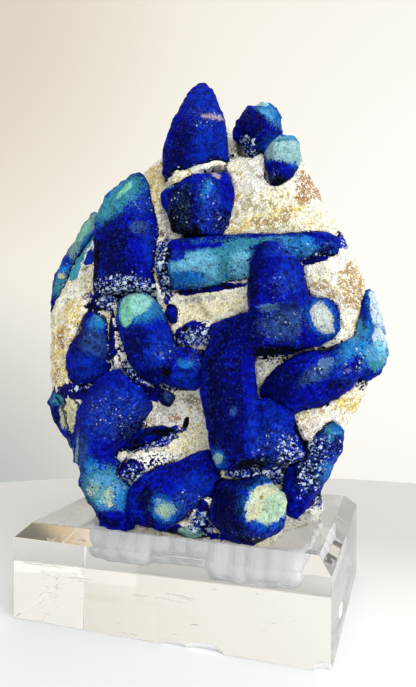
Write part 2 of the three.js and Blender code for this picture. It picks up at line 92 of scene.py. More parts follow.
# The zones of each crystal: (colour, x, z, half width, half height, turn in degrees).
# Later zones lie over earlier ones.
CRYSTAL_ZONES = {"crystal_top_point": [
    # On the tall point the navy oval is painted shade on its left side, and the first royal oval
    # painted light on its right side.
    ("royal", 6, 83.3, 4.3, 8.9, -8), ("royal", 2.8, 92.8, 3, 3), ("navy", -0.6, 80, 3.2, 8, -8),
    ("specks", 2.6, 88.7, 2.9, 1.3, -10), ("specks", 5.8, 88.1, 2.7, 1.4, 8),
    ("specks", 4.2, 85.7, 2, 0.9), ("blush", 5.8, 87.9, 1.6, 0.7, 6),
    ("specks", 5.8, 87.9, 2.3, 1.4, 10),
], "crystal_top_stem": [
    ("royal", 7.3, 69, 4.2, 5), ("royal", 5.9, 70.4, 2.4, 1.9, 20),
    ("azure", 5.7, 70.6, 0.9, 2.6, -12), ("specks", 6.1, 69.6, 2, 3.7),
    ("royal", 7.1, 67.8, 1.8, 2.6), ("royal", 6.9, 68.2, 1.1, 1.7),
    ("ultramarine", 9.6, 72, 1.3, 3.5), ("sky", -2, 72.7, 2.3, 0.7, 8),
    ("azure", 1.5, 71.1, 1.3, 0.9), ("midnight", 0.4, 67.6, 3.6, 5.2, 10),
    ("ink", -1, 64.8, 2.8, 3.7, 14), ("ink", 2.6, 62.2, 2.5, 1.3),
    ("specks", -0.2, 67.1, 3, 4.2, 14), ("navy", 9.1, 65.3, 2.2, 2),
    ("specks", 7.3, 64.2, 3.6, 2.4), ("blush", 7.5, 74.5, 0.9, 0.7),
], "crystals_top_right": [
    ("navy", 14.5, 84.1, 3.7, 4.6, -20), ("sky", 17.9, 88.2, 3.6, 1.5, -50),
    ("azure", 19.9, 87.1, 1.7, 1.1, -60), ("ice", 16.3, 90.2, 1.5, 0.7, -25),
    ("ink", 13.8, 80.4, 2.8, 1.8, -45), ("shards", 13.5, 81.1, 2.4, 1.8, -45),
    ("ice", 21.4, 79.4, 3.8, 2.8, 8), ("sky", 22.8, 82.2, 1.7, 1.1), ("teal", 20.9, 81.3, 1.3, 0.4),
    ("ultramarine", 20.3, 75.7, 2.7, 1.7, -15), ("ink", 20.4, 73.3, 1.7, 1.3),
    ("specks", 19.1, 74.7, 1.3, 1.3, -20),
], "crystal_upper_left": [
    ("ultramarine", -9.6, 65, 3.6, 11.8), ("royal", -9.9, 71.3, 2.2, 5.1, -6),
    ("azure", -16.9, 69.5, 5.2, 3.4, 36), ("teal", -16.1, 71.2, 6.9, 3.7, 48),
    ("teal", -18.9, 68.1, 4.3, 1.2), ("teal", -17.9, 68.7, 3.7, 2.3, 8),
    ("mint", -14.4, 73, 1, 2.5, -32), ("teal", -16.8, 69.3, 2, 0.9, 10),
    ("azure", -18.7, 72.4, 1, 0.7, 45), ("navy", -15.6, 60.4, 3.9, 5.4),
    ("navy", -14.3, 54.8, 4.8, 3.1), ("specks", -10, 69.9, 2.7, 2.1),
    ("greyblue", -10.1, 64.2, 1.7, 1.4), ("specks", -9.7, 64.1, 1.9, 1.8),
    ("royal", -8.1, 60.2, 1.2, 4.5, 5), ("ink", -12.5, 50.1, 8.7, 2.2),
    ("shards", -12.2, 50.9, 8.6, 2.6), ("ink", -20.2, 56, 1, 6.4),
], "crystal_left_edge": [
    ("sage", -28.8, 65.7, 2.7, 6.7, -32), ("mint", -28.4, 66.4, 1.1, 3, -25),
    ("azure", -26.7, 64, 1.1, 2.7, -25), ("teal", -30.3, 54.1, 2.2, 4.3, -40),
    ("azure", -33.4, 57.5, 2.5, 2.2, -40), ("royal", -32.9, 58.6, 1.4, 1, -40),
    ("greyblue", -35.3, 52.3, 2, 2, -35), ("teal", -34.5, 53.7, 1.7, 3, -38),
    ("specks", -35.3, 52.7, 2.5, 3, -38), ("ultramarine", -25.7, 60.4, 0.8, 2.2, -20),
    ("cream", -34.3, 55.6, 1.1, 0.7), ("specks", -32.8, 55.6, 2.8, 3.9, -38),
], "crystals_centre": [
    # The pale bar: the sky and aqua ovals here paint a highlight along its middle.
    ("teal", 5.6, 55.1, 10.2, 4.7, 2), ("sky", 3, 54.9, 5.6, 3.2), ("aqua", 3.7, 54.9, 5.4, 2.8),
    ("specks", 5.7, 55.7, 5.7, 1.7), ("azure", 1.4, 52.7, 4.1, 1.3),
    ("ultramarine", -0.2, 59.4, 4.8, 1.1, -6), ("ultramarine", 7, 59.5, 5.8, 0.6, 1),
    ("royal", -0.8, 57.3, 2.1, 1.1), ("teal", 12.1, 55.7, 3.2, 5.1), ("aqua", 13.2, 55, 2.2, 3.2),
    ("specks", 11.8, 53.9, 2.8, 2.8), ("teal", 17.2, 60.4, 6.8, 0.8, 3),
    # The navy oval at z 50 here and the ink oval at z 50.5 on the next line paint the shade of the
    # pale bar's lower edge.
    ("ink", -3.8, 55.2, 1.4, 6.5), ("shards", -4.6, 55.9, 1.6, 7), ("navy", 4.6, 50, 9.5, 0.9, 3),
    ("ink", 11.5, 50.5, 4.8, 0.9, 12), ("azure", 25.6, 58.6, 5.3, 2.9, 3),
    ("sky", 23.1, 59.6, 1.9, 1.3), ("cerulean", 25.6, 58.6, 3.3, 1.9),
    ("specks", 25.9, 57.7, 4.9, 1.9, 3), ("royal", 29.8, 60.4, 2, 1.7),
    ("ultramarine", 28.6, 61.1, 2.8, 0.6, -12), ("navy", 29.4, 57.6, 2.4, 0.8, 25),
    ("specks", 29.4, 58.2, 2.8, 1.7, 20), ("ultramarine", 20.3, 52.1, 5, 7.2),
    ("navy", 17.1, 53.7, 1.9, 6.3, -6), ("midnight", 16.5, 49.5, 1.6, 3.2),
    ("royal", 24.1, 52, 2.4, 3.6, 14), ("royal", 24.7, 52.7, 1, 2.6, 14),
    ("royal", 20.3, 56.9, 2.4, 1.2), ("specks", 22.7, 49.9, 2.8, 2.4),
    ("navy", 13.7, 41.1, 5.6, 3.9, 12), ("greyblue", 23.7, 42.7, 4.5, 3.4, 10),
    ("specks", 22.9, 42.3, 6, 3, 10), ("ultramarine", 28.2, 43.4, 1.5, 4.3, -10),
    ("ultramarine", 28.6, 40.4, 2.3, 1.6, 20), ("pearl", 30.4, 43.7, 1.7, 3.3, 22),
    ("ink", 21.3, 37.2, 5.3, 1, 8), ("ink", 18.1, 36.6, 1.9, 1.6),
    # The haze oval paints sheen. The ovals from midnight at x 10 to royal at x 17 are painted shade
    # and light across the tall barrel: dark on its left side, lighter on its right.
    ("haze", 19.9, 45.6, 2.2, 0.6, 8), ("midnight", 9.9, 27, 2.7, 12.7, 5),
    ("navy", 13.4, 23.2, 3.3, 9.7, 7), ("navy", 15.1, 31.1, 1.9, 10, 5),
    ("ultramarine", 16.3, 27.2, 1, 9.9, 6), ("royal", 17.3, 21.3, 0.8, 6.6, 6),
    ("greyblue", 13.6, 24.9, 0.6, 0.8), ("royal", 21.2, 21.5, 3.6, 5, 22),
    ("shards", 24.5, 16.8, 2.4, 3.9, 15), ("specks", 21.9, 17.7, 3.9, 4.6, 20),
    ("midnight", 23.7, 15.4, 3.1, 1.9), ("royal", 21.1, 18.8, 1.6, 2.7),
    ("ink", 17.2, 14.8, 3.4, 1.2, 4), ("dew", 10.3, 15.5, 1.2, 1.2, 45),
], "crystals_right": [
    ("navy", 21.8, 30.1, 4.6, 4.4, 22), ("greyblue", 29.8, 32.8, 4, 1.7, 36),
    # The haze oval paints sheen on this face.
    ("haze", 31.2, 35, 1.7, 1.2, 32), ("specks", 29.4, 32.8, 3.4, 1.5, 36),
    ("ultramarine", 28.7, 29.2, 5.4, 1.5, 27), ("navy", 33.4, 30.9, 2.3, 1.5, 32),
    ("azure", 36.9, 38.6, 3.2, 5.9, -22), ("cerulean", 36.9, 39, 2.1, 3.9, -22),
    ("sky", 36.3, 41.9, 1.8, 2.4, -22), ("specks", 36.3, 36.8, 2.6, 4.7, -22),
    ("royal", 34.7, 33.2, 2.3, 1.5, 20), ("ultramarine", 38.2, 46.9, 1, 3.4),
    ("pale", 40.3, 46.7, 1.5, 5.4, 8), ("pale", 41, 39.8, 1.3, 2.6, 10),
    ("aqua", 40.8, 37, 1.5, 2.5, -10), ("teal", 40.3, 35.1, 1.1, 1.2),
    ("sky", 39.6, 37.3, 1.1, 1.6), ("royal", 39.5, 32, 1.3, 1.2),
    ("specks", 37.8, 37.2, 1.9, 4.3, -20), ("shards", 37.3, 34.8, 0.7, 1.7, -20),
    ("ultramarine", 36, 34.4, 1.1, 2.3, -30),
], "crystal_left_spindle": [
    ("navy", -22, 37.1, 5.1, 8.6, 10), ("royal", -20.5, 42.7, 2.5, 3.4),
    ("azure", -20.3, 43.6, 2.3, 2.3), ("cerulean", -20.1, 43.9, 1.5, 1.6),
    ("sky", -20.4, 44.8, 1.3, 0.9), ("greyblue", -20.6, 38.3, 3, 3.2),
    ("specks", -22.2, 41.7, 1.8, 2.7), ("royal", -22.4, 33.9, 3.5, 2.9),
    ("ink", -15.7, 38.9, 0.7, 5.8, 4),
], "crystals_centre_left": [
    ("royal", -4, 37.5, 3.4, 4.7, -30), ("navy", -9.5, 38, 2.8, 4.5, -20),
    ("royal", -7.4, 43.4, 2.8, 1.7), ("specks", -2.7, 36.7, 2.8, 2.1), ("navy", -6, 31.5, 3, 1.7),
    ("azure", -9.3, 46.1, 5.2, 3.3, 4), ("teal", -9.9, 46.5, 4.7, 3.1, 4),
    ("foam", -10.5, 47, 3.8, 2.6, 5), ("mint", -12, 45, 1.9, 3.1, 8), ("azure", 6.9, 35, 1.5, 2.7),
    ("azure", 2.4, 34.3, 1.8, 1), ("royal", 2.5, 31.3, 2.9, 1.7), ("specks", 4.7, 36.4, 2, 3),
    ("ink", -2.2, 32.4, 1.4, 1.3), ("ink", -0.8, 28.2, 3.7, 0.9),
], "crystal_lower_left": [
    ("royal", -13.2, 23.6, 7.1, 5.5, 20), ("royal", -10.5, 23.9, 3.3, 2.5),
    ("royal", -9.7, 23.8, 1.2, 1.1), ("navy", -10.1, 18.5, 3.3, 4.3, -30),
    ("royal", -18.1, 17.9, 4.3, 3.8), ("ultramarine", -15.2, 14.9, 3.4, 3),
    ("specks", -13.2, 23, 6.1, 5), ("azure", -19.9, 11.9, 2.7, 1.9), ("sky", -15, 7, 6.6, 4, -10),
    ("teal", -16.4, 6.9, 5.2, 3.8), ("sagelight", -13.2, 6.3, 2.8, 1.7, 30),
    ("sky", -16.3, 8.6, 2.4, 1.3), ("cream", -13.3, 4.6, 0.7, 1.5, -35),
    ("cerulean", -11, 5.7, 2.4, 3, 15), ("specks", -15.1, 6.6, 6.2, 3.8),
    ("greyblue", -20.6, 14.7, 1.5, 3.8, -12), ("sage", -22.5, 14.9, 0.7, 3.5, -12),
    ("sage", -17.7, 6.9, 1.7, 1.7), ("white", -18.9, 6.1, 1.2, 0.8, -20),
    ("ultramarine", -10.8, 0.6, 6.5, 1.5, -6), ("navy", -14.1, 0.3, 2.8, 1, -20),
], "crystal_left_rim": [
    ("teal", -31.3, 25.8, 3, 1.9), ("cream", -29, 22.5, 2.1, 3.9, -12),
    ("teal", -23.1, 21.2, 1, 3.7, -8), ("navy", -32.6, 21.8, 1.4, 3.3, -15),
    ("royal", -30.6, 16.1, 1.3, 3.5, -20), ("sage", -23.3, 12, 1.8, 4.4, -26),
    ("greyblue", -29.4, 14.1, 1.1, 2.8, -24),
], "crystal_bottom_centre": [
    ("royal", 4.6, 8.7, 5.1, 3, 24), ("ultramarine", -1.5, 8.7, 4.4, 2, 10),
    ("specks", 4.2, 5.8, 3.4, 2.4, 10), ("royal", 3.6, 7.8, 1.9, 1.8),
    ("midnight", -4.5, 6.1, 2, 2.8), ("navy", -4, 2.3, 1.8, 3), ("dew", -0.8, 4.3, 1.7, 2.4, 20),
    ("dew", -0.3, 4.3, 2.4, 1.4, 10), ("sagelight", -0.8, 4.1, 1.1, 1.2),
    ("ink", 1.9, -0.9, 3.7, 0.8, -5),
], "crystal_bottom_right": [
    ("midnight", 13.2, 6.2, 4.6, 6.4), ("navy", 15, 11.1, 4.1, 1.9),
    ("royal", 21.3, 11.2, 2.9, 1.4, -20), ("ultramarine", 23.6, 4.3, 1.8, 1.7, 30),
    ("specks", 22.6, 4, 2.3, 1.5, 30), ("azure", 19.4, 12.6, 2, 0.8),
    ("celadon", 20.7, 7.4, 3.7, 3.4), ("cream", 18.7, 6.2, 1.4, 2.2, -25),
    ("cream", 19.8, 9.6, 1.8, 1), ("sagelight", 21.7, 6.6, 1.6, 1.7), ("rust", 19.7, 8.5, 0.3, 0.3),
    ("ink", 18.4, 0.2, 3.9, 0.9), ("specks", 18.6, 1.1, 4.7, 1.1),
], "crystal_right_lower": [
    ("royal", 30.9, 17, 4.4, 7, -24), ("teal", 32.4, 21.5, 1.7, 1.8, -30),
    ("navy", 32.7, 18.8, 1, 1.9, -30), ("midnight", 28.1, 14, 2.7, 5, -20),
    ("azure", 31.3, 13.9, 1.6, 2, -20), ("shards", 28.7, 15.2, 2.5, 5.8, -18),
    ("specks", 30.4, 16, 4.3, 7, -20), ("azure", 33.1, 22.3, 1.2, 1.6, -30),
], "crystal_window_wedge": [
    ("ink", -4.5, 18.5, 8.4, 2.6, 20), ("ultramarine", -6.9, 17.8, 1.9, 0.9, 20),
], "crystal_window_bead": [
    ("ink", -3, 27, 1.9, 1.9), ("greyblue", -3.1, 27.4, 1.2, 1.1),
], "crystal_bar_bud": [
    ("ink", -2.6, 46.1, 1.9, 2.2), ("ultramarine", -2.7, 45.6, 0.9, 1.1),
]}

# The zones of the marble, by colour: (x, z, half width, half height, turn in degrees).
MARBLE_ZONES = {"honey": [
    (-9.2, 74.9, 3.7, 6.6, -25), (14.4, 64.6, 5.7, 1.3, 14), (11.6, 74.8, 0.9, 1.3),
    (34.5, 26.9, 2.7, 1.6, 15), (-31.2, 32.1, 3.8, 4.7), (-27.8, 46.5, 3.4, 3.3),
    (-31.5, 36.8, 3.8, 7.1), (21.6, 66.6, 4.2, 1.3, 10), (-10.4, 79, 2.5, 2.4),
], "olive": [
    (-10.7, 75.2, 1, 2.4, -25), (15.3, 68.3, 3.9, 2), (-24.5, 52.3, 1.6, 2.8),
    (18.5, 63.7, 6.4, 1.1),
], "grey": [
    (-5.2, 67.3, 1.4, 4.6, 12), (17.9, 75.3, 1.7, 2.2), (3.2, 48.6, 6.9, 0.7, 2),
    (-5.5, 23.2, 3.8, 2.2), (-17.3, 28, 5.3, 1.7), (37.7, 31.9, 2.5, 2), (16.9, 33, 1.3, 3.7),
    (25.3, 37.1, 8.2, 1),
], "brown": [
    (-8.6, 78.6, 1, 0.5, -30), (-5.8, 63.5, 1, 0.9), (-24.4, 49.5, 1.3, 0.9),
    (-25.3, 56.3, 1.3, 0.9), (26.6, 4.3, 0.4, 0.4), (24.4, 2.1, 0.4, 0.4), (-29.8, 49.1, 0.8, 0.7),
# These dull zones are painted shade: in a crease beside the tall point, and at the top of the
# window.
], "dark_grain_and_shade": [
    (10.1, 82, 1.1, 3.6, -18), (1.6, 26.7, 3, 1.3),
], "white": [
    (16.5, 75.6, 3.7, 4), (26.2, 54.6, 2, 1.5), (-5.7, 13.6, 6.4, 1.7, 12), (0.8, 38.3, 3.2, 0.9),
    (-16.4, 44.3, 1, 4.5, 10), (-15.5, 36, 1.5, 2.2, -20), (26.4, 3.8, 3.3, 3.3),
    (6.5, 75.5, 5.8, 1.1, -12),
], "tan": [
    (21.8, 66.2, 1.5, 1.9), (25.1, 69.4, 1.9, 1.3), (35.8, 53.1, 1.6, 3.3, 30), (31.5, 49, 1.4, 1),
    (29.2, 51.1, 2, 1.2), (-31.7, 40.1, 1.6, 1.9), (-31.9, 31.2, 1.3, 1.9), (16.8, 64.7, 3.4, 0.9),
    (35, 49.6, 2.4, 3.7, 30),
], "rust": [
    (25.1, 72.4, 1.9, 3.3, 10), (26.4, 73.7, 0.6, 4.9, 30), (-1.8, 22.7, 1.2, 0.9),
    (25.5, 71.8, 2.1, 2.6, 12), (-30.9, 39.2, 0.8, 2.1, 8),
], "blush": [
    (24.5, 78.9, 1.7, 1.8), (28.2, 21.3, 2.4, 2),
], "lemon": [
    (5.8, 47, 8.6, 3.3, 5), (1.8, 18.5, 4.4, 3.4), (-1, 15.7, 5.1, 2.1, 10),
], "ink": [
    (0.1, 21.7, 0.7, 1.3, -20),
], "pepper": [
    (-6.5, 13.1, 6.9, 1.7, 14), (-15.5, 41.6, 1.7, 7.6), (-17.3, 28, 5.8, 1.9),
    (-9.8, 31.2, 5.3, 2, -38), (37.7, 31.9, 2.3, 1.8), (20.2, 36.6, 3.8, 1.7),
    (33.1, 62.2, 1.6, 1.5),
# Dark seams between the crystals; the last zone, under the pale bar, is a painted shadow.
], "seam": [
    (-6.5, 17.8, 6.8, 1.9, 20), (-7.4, 9.5, 4.4, 2.5, -15), (3.6, 40.6, 4.5, 2.3),
    (-18.6, 48.3, 3, 1.6), (-13.4, 31.4, 3.8, 1.9), (6.6, 1.4, 2.2, 2.2, -20),
    (26.2, 9.5, 4.7, 4.3), (25.8, 10.7, 2.7, 2.3), (24.5, 16.8, 3.5, 3.9), (16.4, 13.3, 3.3, 1),
    (-3.4, 29.8, 1.9, 1.3), (-13, 16.4, 1.2, 2, -35), (-4.6, 54.8, 1.2, 7), (-15.2, 49.2, 8.9, 1.8),
    (-21.1, 47.3, 4.1, 1.6), (-16.7, 39.8, 1, 6.3, 4), (-25.7, 27.6, 5.7, 1.8, -10),
    (-21.5, 29.5, 3.6, 1.8, 20), (-30.8, 26.6, 2.1, 1.4), (-9.1, 31.3, 3.5, 1.9, -38),
    (1.8, 40.7, 5, 2.8, 15), (-6.1, 28.2, 2.8, 2), (14.7, 12.7, 3.7, 1.2), (20.9, 13.4, 2.9, 3.6),
    (26.2, 11.5, 1.8, 4.6), (0.7, -0.3, 9.7, 1.4, -5), (6.9, 3.4, 1.9, 3.6),
    (-10.1, 11.4, 3.8, 2.5), (4.7, 50.7, 9.8, 0.9, 4),
], "shards": [
    (-7, 17.5, 6.1, 1.9, 20), (-7.4, 9.5, 4.6, 2.7, -15), (3.5, 40, 4.5, 2.1),
    (-18.6, 48.3, 3.2, 1.8), (-13.7, 31.8, 4.3, 2.2), (6.3, 1.8, 2.6, 2.8, -20),
    (25.8, 9.9, 5.1, 4.6), (24.5, 16.8, 3.5, 4.2), (15.7, 12.9, 4.1, 1.4), (-3.4, 29.8, 2.1, 1.5),
    (33.4, 60.7, 1.6, 1.9, -40), (-4.7, 56.1, 0.9, 7.5), (-22, 29.7, 5.1, 1.1, 20),
    (-9.2, 31.9, 4.7, 0.6, -42), (20.7, 13.6, 2.5, 3.2),
], "cream": [
    (-4.9, 8.2, 1.6, 0.8, 22),
], "sage": [
    (3.9, -0.4, 2.8, 1.2), (-26.9, 69, 2.4, 3.5, -30), (-27.6, 13.1, 1.3, 3.4, -24),
], "royal": [
    (33.4, 60.7, 1.4, 1.3, -40), (-24.7, 59.2, 2.1, 2.1, -10), (32.8, 60.8, 1.6, 1.9, -30),
    (-29.2, 17.4, 3.7, 5.5, -18),
], "teal": [
    (-27.9, 65.2, 2.7, 3.7, -20), (-28.1, 64.7, 3.5, 4.9, -28), (-29.3, 56, 1.9, 2.4, -42),
    (-28.8, 59.4, 2.2, 2.2, -40), (-31.3, 25.6, 1.9, 1.4), (-23, 20.6, 0.7, 3.3, -10),
], "navy": [
    (-25.1, 58, 1.3, 1), (28.2, 56.5, 3.2, 1.2, 20), (-29.1, 20.1, 4.2, 8.7, -14),
], "buff": [
    (-27.9, 22, 2.6, 4.3, -12),
]}

# How a crystal departs from its solid, in the specimen's frame: stretched about the place (x, z),
# as (x, z, wider, taller), and then pushed near places, as (x, z, reach, to the right, up).
STRETCHES = {
    "crystal_top_point": (2.7, 96.2, 1.03, 1.05),
    "crystal_top_stem": (4.6, 68.6, 1.12, 1),
    "crystal_upper_left": (-20.6, 64.1, 1.1, 1),
    "crystal_left_spindle": (-27.2, 37.1, 1.4, 1.15),
    "crystal_left_rim": (-33.3, 20.8, 1.8, 1),
}
NUDGES = {"crystal_top_point": [
    (-5.7, 74.5, 3.8, 0, 2.3),
], "crystal_top_stem": [
    (7.8, 76.7, 7.6, 0, -1.5), (-3.6, 72, 3.3, -0.5, 0.7),
], "crystals_top_right": [
    (11.3, 81.4, 3.8, 2, 0.7), (12.9, 89.5, 2.6, -0.4, 0.4), (20.2, 87.4, 2.6, -0.6, 0),
    (17.9, 75.3, 3.2, 1.3, 0),
], "crystal_left_edge": [
    (-29.7, 63, 9.3, 2.2, 0),
], "crystals_centre": [
    (14.7, 59.1, 1.7, 0.9, -0.6), (27.5, 50.7, 4, -0.8, 0), (7.8, 21.9, 5.5, 0.8, 0),
    (26.2, 20.8, 3.4, -1.2, 0),
], "crystals_right": [
    (37.8, 31.5, 3.4, -0.4, 1), (31, 38.7, 3.2, 0, -0.8),
], "crystal_left_spindle": [
    (-27.1, 41.9, 4, 1.3, 0),
], "crystal_lower_left": [
    (-20.7, 1.4, 6.4, 2, 0.4), (-8, 25.3, 3.8, 0.7, 0),
], "crystal_bottom_centre": [
    (0.2, 14.5, 5.4, 0, -1), (-0.9, 1.3, 4.8, 0, -1),
], "crystal_right_lower": [
    (30.9, 17, 13.5, 0.4, 0),
]}


# ---------------------------------------------------------------- settings

class CrystalSettings(bpy.types.PropertyGroup):
    """Colours and surface of the blue crystals."""
    ink: tint("Ink", "Near black of rims and shaded ends", "02030e")
    midnight: tint("Midnight", "Darkest blue", "020344")
    navy: tint("Navy", "Dark blue of the shaded sides", "01035e")
    ultramarine: tint("Ultramarine", "The main blue", "020aa0")
    royal: tint("Royal", "Lighter mottled blue", "0426a6")
    azure: tint("Azure", "Bright blue of thin places", "1a70c4")
    sky: tint("Sky", "Pale blue", "4e9ccc")
    cerulean: tint("Cerulean", "Bright clear blue", "2688d0")
    teal: tint("Teal", "Green blue", "3c90a4")
    mint: tint("Mint", "Green blue of the broken caps", "84d0b4")
    ice: tint("Ice", "Palest blue", "a0ccd0")
    aqua: tint("Aqua", "Clear light blue", "74c4e0")
    foam: tint("Foam", "Palest green-blue", "98d8cc")
    pale: tint("Pale", "Nearly white blue", "d0e6f0")
    sage: tint("Sage", "Grey green", "7ea8a0")
    sagelight: tint("Light sage", "Pale grey green", "aac8aa")
    cream: tint("Cream", "Cut caps", "ccd0ac")
    celadon: tint("Celadon", "Greenish part of the cut caps", "c2dcc0")
    pearl: tint("Pearl", "Cold white cap", "ccd6d0")
    dew: tint("Dew", "Dull pale blue spot", "84aeb2")
    greyblue: tint("Grey blue", "Hazy, granular faces", "28468a")
    # Haze is painted sheen in its zones, and the colour of the fine scratch lines.
    haze: tint("Haze", "Pale film", "5c84b4")
    blush: tint("Blush", "Pink stain", "b4a0b4")
    buff: tint("Buff", "Dull cream patch", "d4d2a8")
    rust: tint("Rust", "Iron stain", "c08a50")
    white: tint("White", "Calcite left on a crystal", "dce0e0")
    speck: tint("Speck", "Calcite grains on the crystals", "ccdcea")
    cell: length("Cell", "Spacing of the modelled surface", 0.34)
    swell: length("Swell", "Depth of the uneven faces", 0.6)
    pitting: length("Pitting", "Depth of the fine pits", 0.3)
    # The dark edge beside the marble is partly the crystals' own colour, partly painted shade in
    # the crease.
    rim: length("Rim", "Width of the dark edge beside the marble", 0.9)


class MarbleSettings(bpy.types.PropertyGroup):
    """Colours and surface of the marble."""
    white: tint("White", "Sugary calcite", "fbfaf2")
    cream: tint("Cream", "Warm calcite", "f2ebcc")
    honey: tint("Honey", "Yellow stained calcite", "ead070")
    lemon: tint("Lemon", "Pale yellow calcite of the windows", "fdf4bc")
    tan: tint("Tan", "Tan grains", "b4935a")
    rust: tint("Rust", "Iron stain", "a06c38")
    brown: tint("Brown", "Brown spots", "6e5430")
    olive: tint("Olive", "Grey green grains", "cdc89a")
    grey: tint("Grey", "Cold grey calcite", "bab8b2")
    # The dull colour below is painted shade in deep places, and also the colour of a few dark
    # grains.
    dark_grain_and_shade: tint("Shade", "Dull deep places", "948a7a")
    blush: tint("Blush", "Pinkish calcite", "dccdc8")
    cell: length("Cell", "Spacing of the modelled surface", 0.5)
    lumps: length("Lumps", "Depth of the broken lumps", 1.1)
    grains: length("Grains", "Depth of the calcite grains", 0.6)
    lap: length("Lap", "How far the marble closes in on the crystals", 0.5)


class BlockSettings(bpy.types.PropertyGroup):
    """Sizes and finish of the acrylic block and its pocket."""
    chamfer: length("Chamfer", "Width of the top chamfer", 2.75)
    arris: length("Arris", "Rounding of the block's sharp edges", 0.15)
    mill: length("Mill", "Radius of the round-nosed mill that cut the pocket", 3)
    cell: length("Cell", "Spacing of the modelled pocket wall", 0.4)
    clear: tint("Acrylic", "Tint of the clear acrylic", "fcfdfd")
    frost: tint("Frost", "Tint of the milled pocket", "fdfdff")


class StageSettings(bpy.types.PropertyGroup):
    """Floor, light and camera."""
    floor: tint("Floor", "Pale floor", "eceded")
    floor_radius: length("Floor radius", "Radius of the round floor", 265)
    key: FloatProperty(name="Key light", description="Strength of the soft light", default=3.3,
                       min=0)
    lens: FloatProperty(name="Lens", description="Focal length", default=31.85, unit="CAMERA",
                        min=1)


# ---------------------------------------------------------------- modelling helpers

def only(piece):
    """Deselect everything but this piece, and make it the active one."""
    if bpy.context.object and bpy.context.object.mode != "OBJECT":
        bpy.ops.object.mode_set(mode="OBJECT")
    bpy.ops.object.select_all(action="DESELECT")
    piece.select_set(True)
    bpy.context.view_layer.objects.active = piece
    return piece


def named(name):
    """The new, active object under that name."""
    piece = bpy.context.object
    piece.name = name
    piece.data.name = name
    return piece


def modify(piece, kind, **values):
    """Add one modifier to the piece and apply it."""
    only(piece)
    modifier = piece.modifiers.new(kind.title(), kind)
    for key, value in values.items():
        setattr(modifier, key, value)
    bpy.ops.object.modifier_apply(modifier=modifier.name)


def roughen(piece, name, kind, size, depth, group="", **values):
    """Push the surface in and out by a noise, up to about half that depth each way."""
    pattern = bpy.data.textures.new(name, kind)
    pattern.noise_scale = size
    for key, value in values.items():
        setattr(pattern, key, value)
    modify(piece, "DISPLACE", texture=pattern, texture_coords="LOCAL", strength=depth,
           mid_level=0.5, vertex_group=group)


def copied_solid(node, name):
    """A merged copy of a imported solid, to be worked on."""
    piece = bpy.data.objects.new(name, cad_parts[node].data.copy())
    bpy.context.scene.collection.objects.link(piece)
    piece.data.name = name
    piece.data.materials.clear()
    only(piece)
    bpy.ops.object.mode_set(mode="EDIT")
    bpy.ops.mesh.select_all(action="SELECT")
    bpy.ops.mesh.remove_doubles(threshold=1e-6)
    bpy.ops.object.mode_set(mode="OBJECT")
    return piece


def tree_of(objects):
    """One search tree over the surfaces of several objects, which all sit at the origin."""
    corners, faces = [], []
    for thing in objects:
        start = len(corners)
        corners.extend(v.co.copy() for v in thing.data.vertices)
        faces.extend([start + i for i in face.vertices] for face in thing.data.polygons)
    return BVHTree.FromPolygons(corners, faces)


def store(piece, name, values):
    """Keep one number on each vertex, for the material."""
    layer = piece.data.attributes.new(name, "FLOAT", "POINT")
    layer.data.foreach_set("value", values)


def mark_nearness(piece, name, tree, reach):
    """Store how near each vertex is to the tree's surfaces: 1 touching, 0 at the reach."""
    shares = []
    for vertex in piece.data.vertices:
        distance = tree.find_nearest(vertex.co, reach)[3]
        shares.append(0.0 if distance is None else 1 - distance / reach)
    store(piece, name, shares)


def facing_away(piece, spots):
    """0 on the front of the piece, rising to 1 on its sides and deep parts."""
    normals = np.empty(3 * len(spots))
    piece.data.vertices.foreach_get("normal", normals)
    deep = (spots[:, 1] - spots[:, 1].min()) / np.ptp(spots[:, 1])
    return np.maximum((normals.reshape(-1, 3)[:, 1] + 0.1) / 0.4, (deep - 0.6) / 0.1).clip(0, 1)


def mark_shares(piece, zones, names, in_front=False):
    """Store how deep each vertex lies in each name's zones: 1 in the middle, 0.5 at the edge."""
    places = np.empty(3 * len(piece.data.vertices))
    piece.data.vertices.foreach_get("co", places)
    away = SPECIMEN.inverted()
    spots = places.reshape(-1, 3) @ np.array(away.to_3x3()).T + np.array(away.translation)
    fade = facing_away(piece, spots) if in_front else 0
    for name in names:
        share = np.zeros(len(spots))
        for zone in (zone for zone in zones if zone.name == name):
            cos, sin = math.cos(math.radians(zone.turn)), math.sin(math.radians(zone.turn))
            across, up = spots[:, 0] - zone.x, spots[:, 2] - zone.z
            distance = np.hypot((cos * across + sin * up) / zone.half_width,
                                (cos * up - sin * across) / zone.half_height)
            share = np.maximum(share, 1 - distance / 2)
        store(piece, name, share - fade)


def refit(piece, node):
    """Stretch the crystal and push it near chosen places, in the specimen's frame."""
    away = SPECIMEN.inverted()
    x0, z0, wider, taller = STRETCHES.get(node, (0, 0, 1, 1))
    for vertex in piece.data.vertices:
        spot = away @ vertex.co
        spot.x, spot.z = x0 + (spot.x - x0) * wider, z0 + (spot.z - z0) * taller
        for x, z, reach, right, up in NUDGES.get(node, ()):
            near = max(0.0, 1 - ((spot.x - x) ** 2 + (spot.z - z) ** 2) / reach ** 2) ** 2
            spot.x += near * right
            spot.z += near * up
        vertex.co = SPECIMEN @ spot


def hand_over(piece, node):
    """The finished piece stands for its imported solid."""
    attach(piece, "root")
    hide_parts(node)


# ---------------------------------------------------------------- shader nodes

# Zones that end at a clear edge. The others break up into grains of both colours.
CRISP_COLOURS = {"mint", "foam", "pale", "cream", "ice", "white", "pearl", "celadon", "dew"}
# Pale caps, which fade to bright blue round their edge.
FRINGED_COLOURS = {"pearl", "celadon", "dew", "ice", "pale", "foam"}
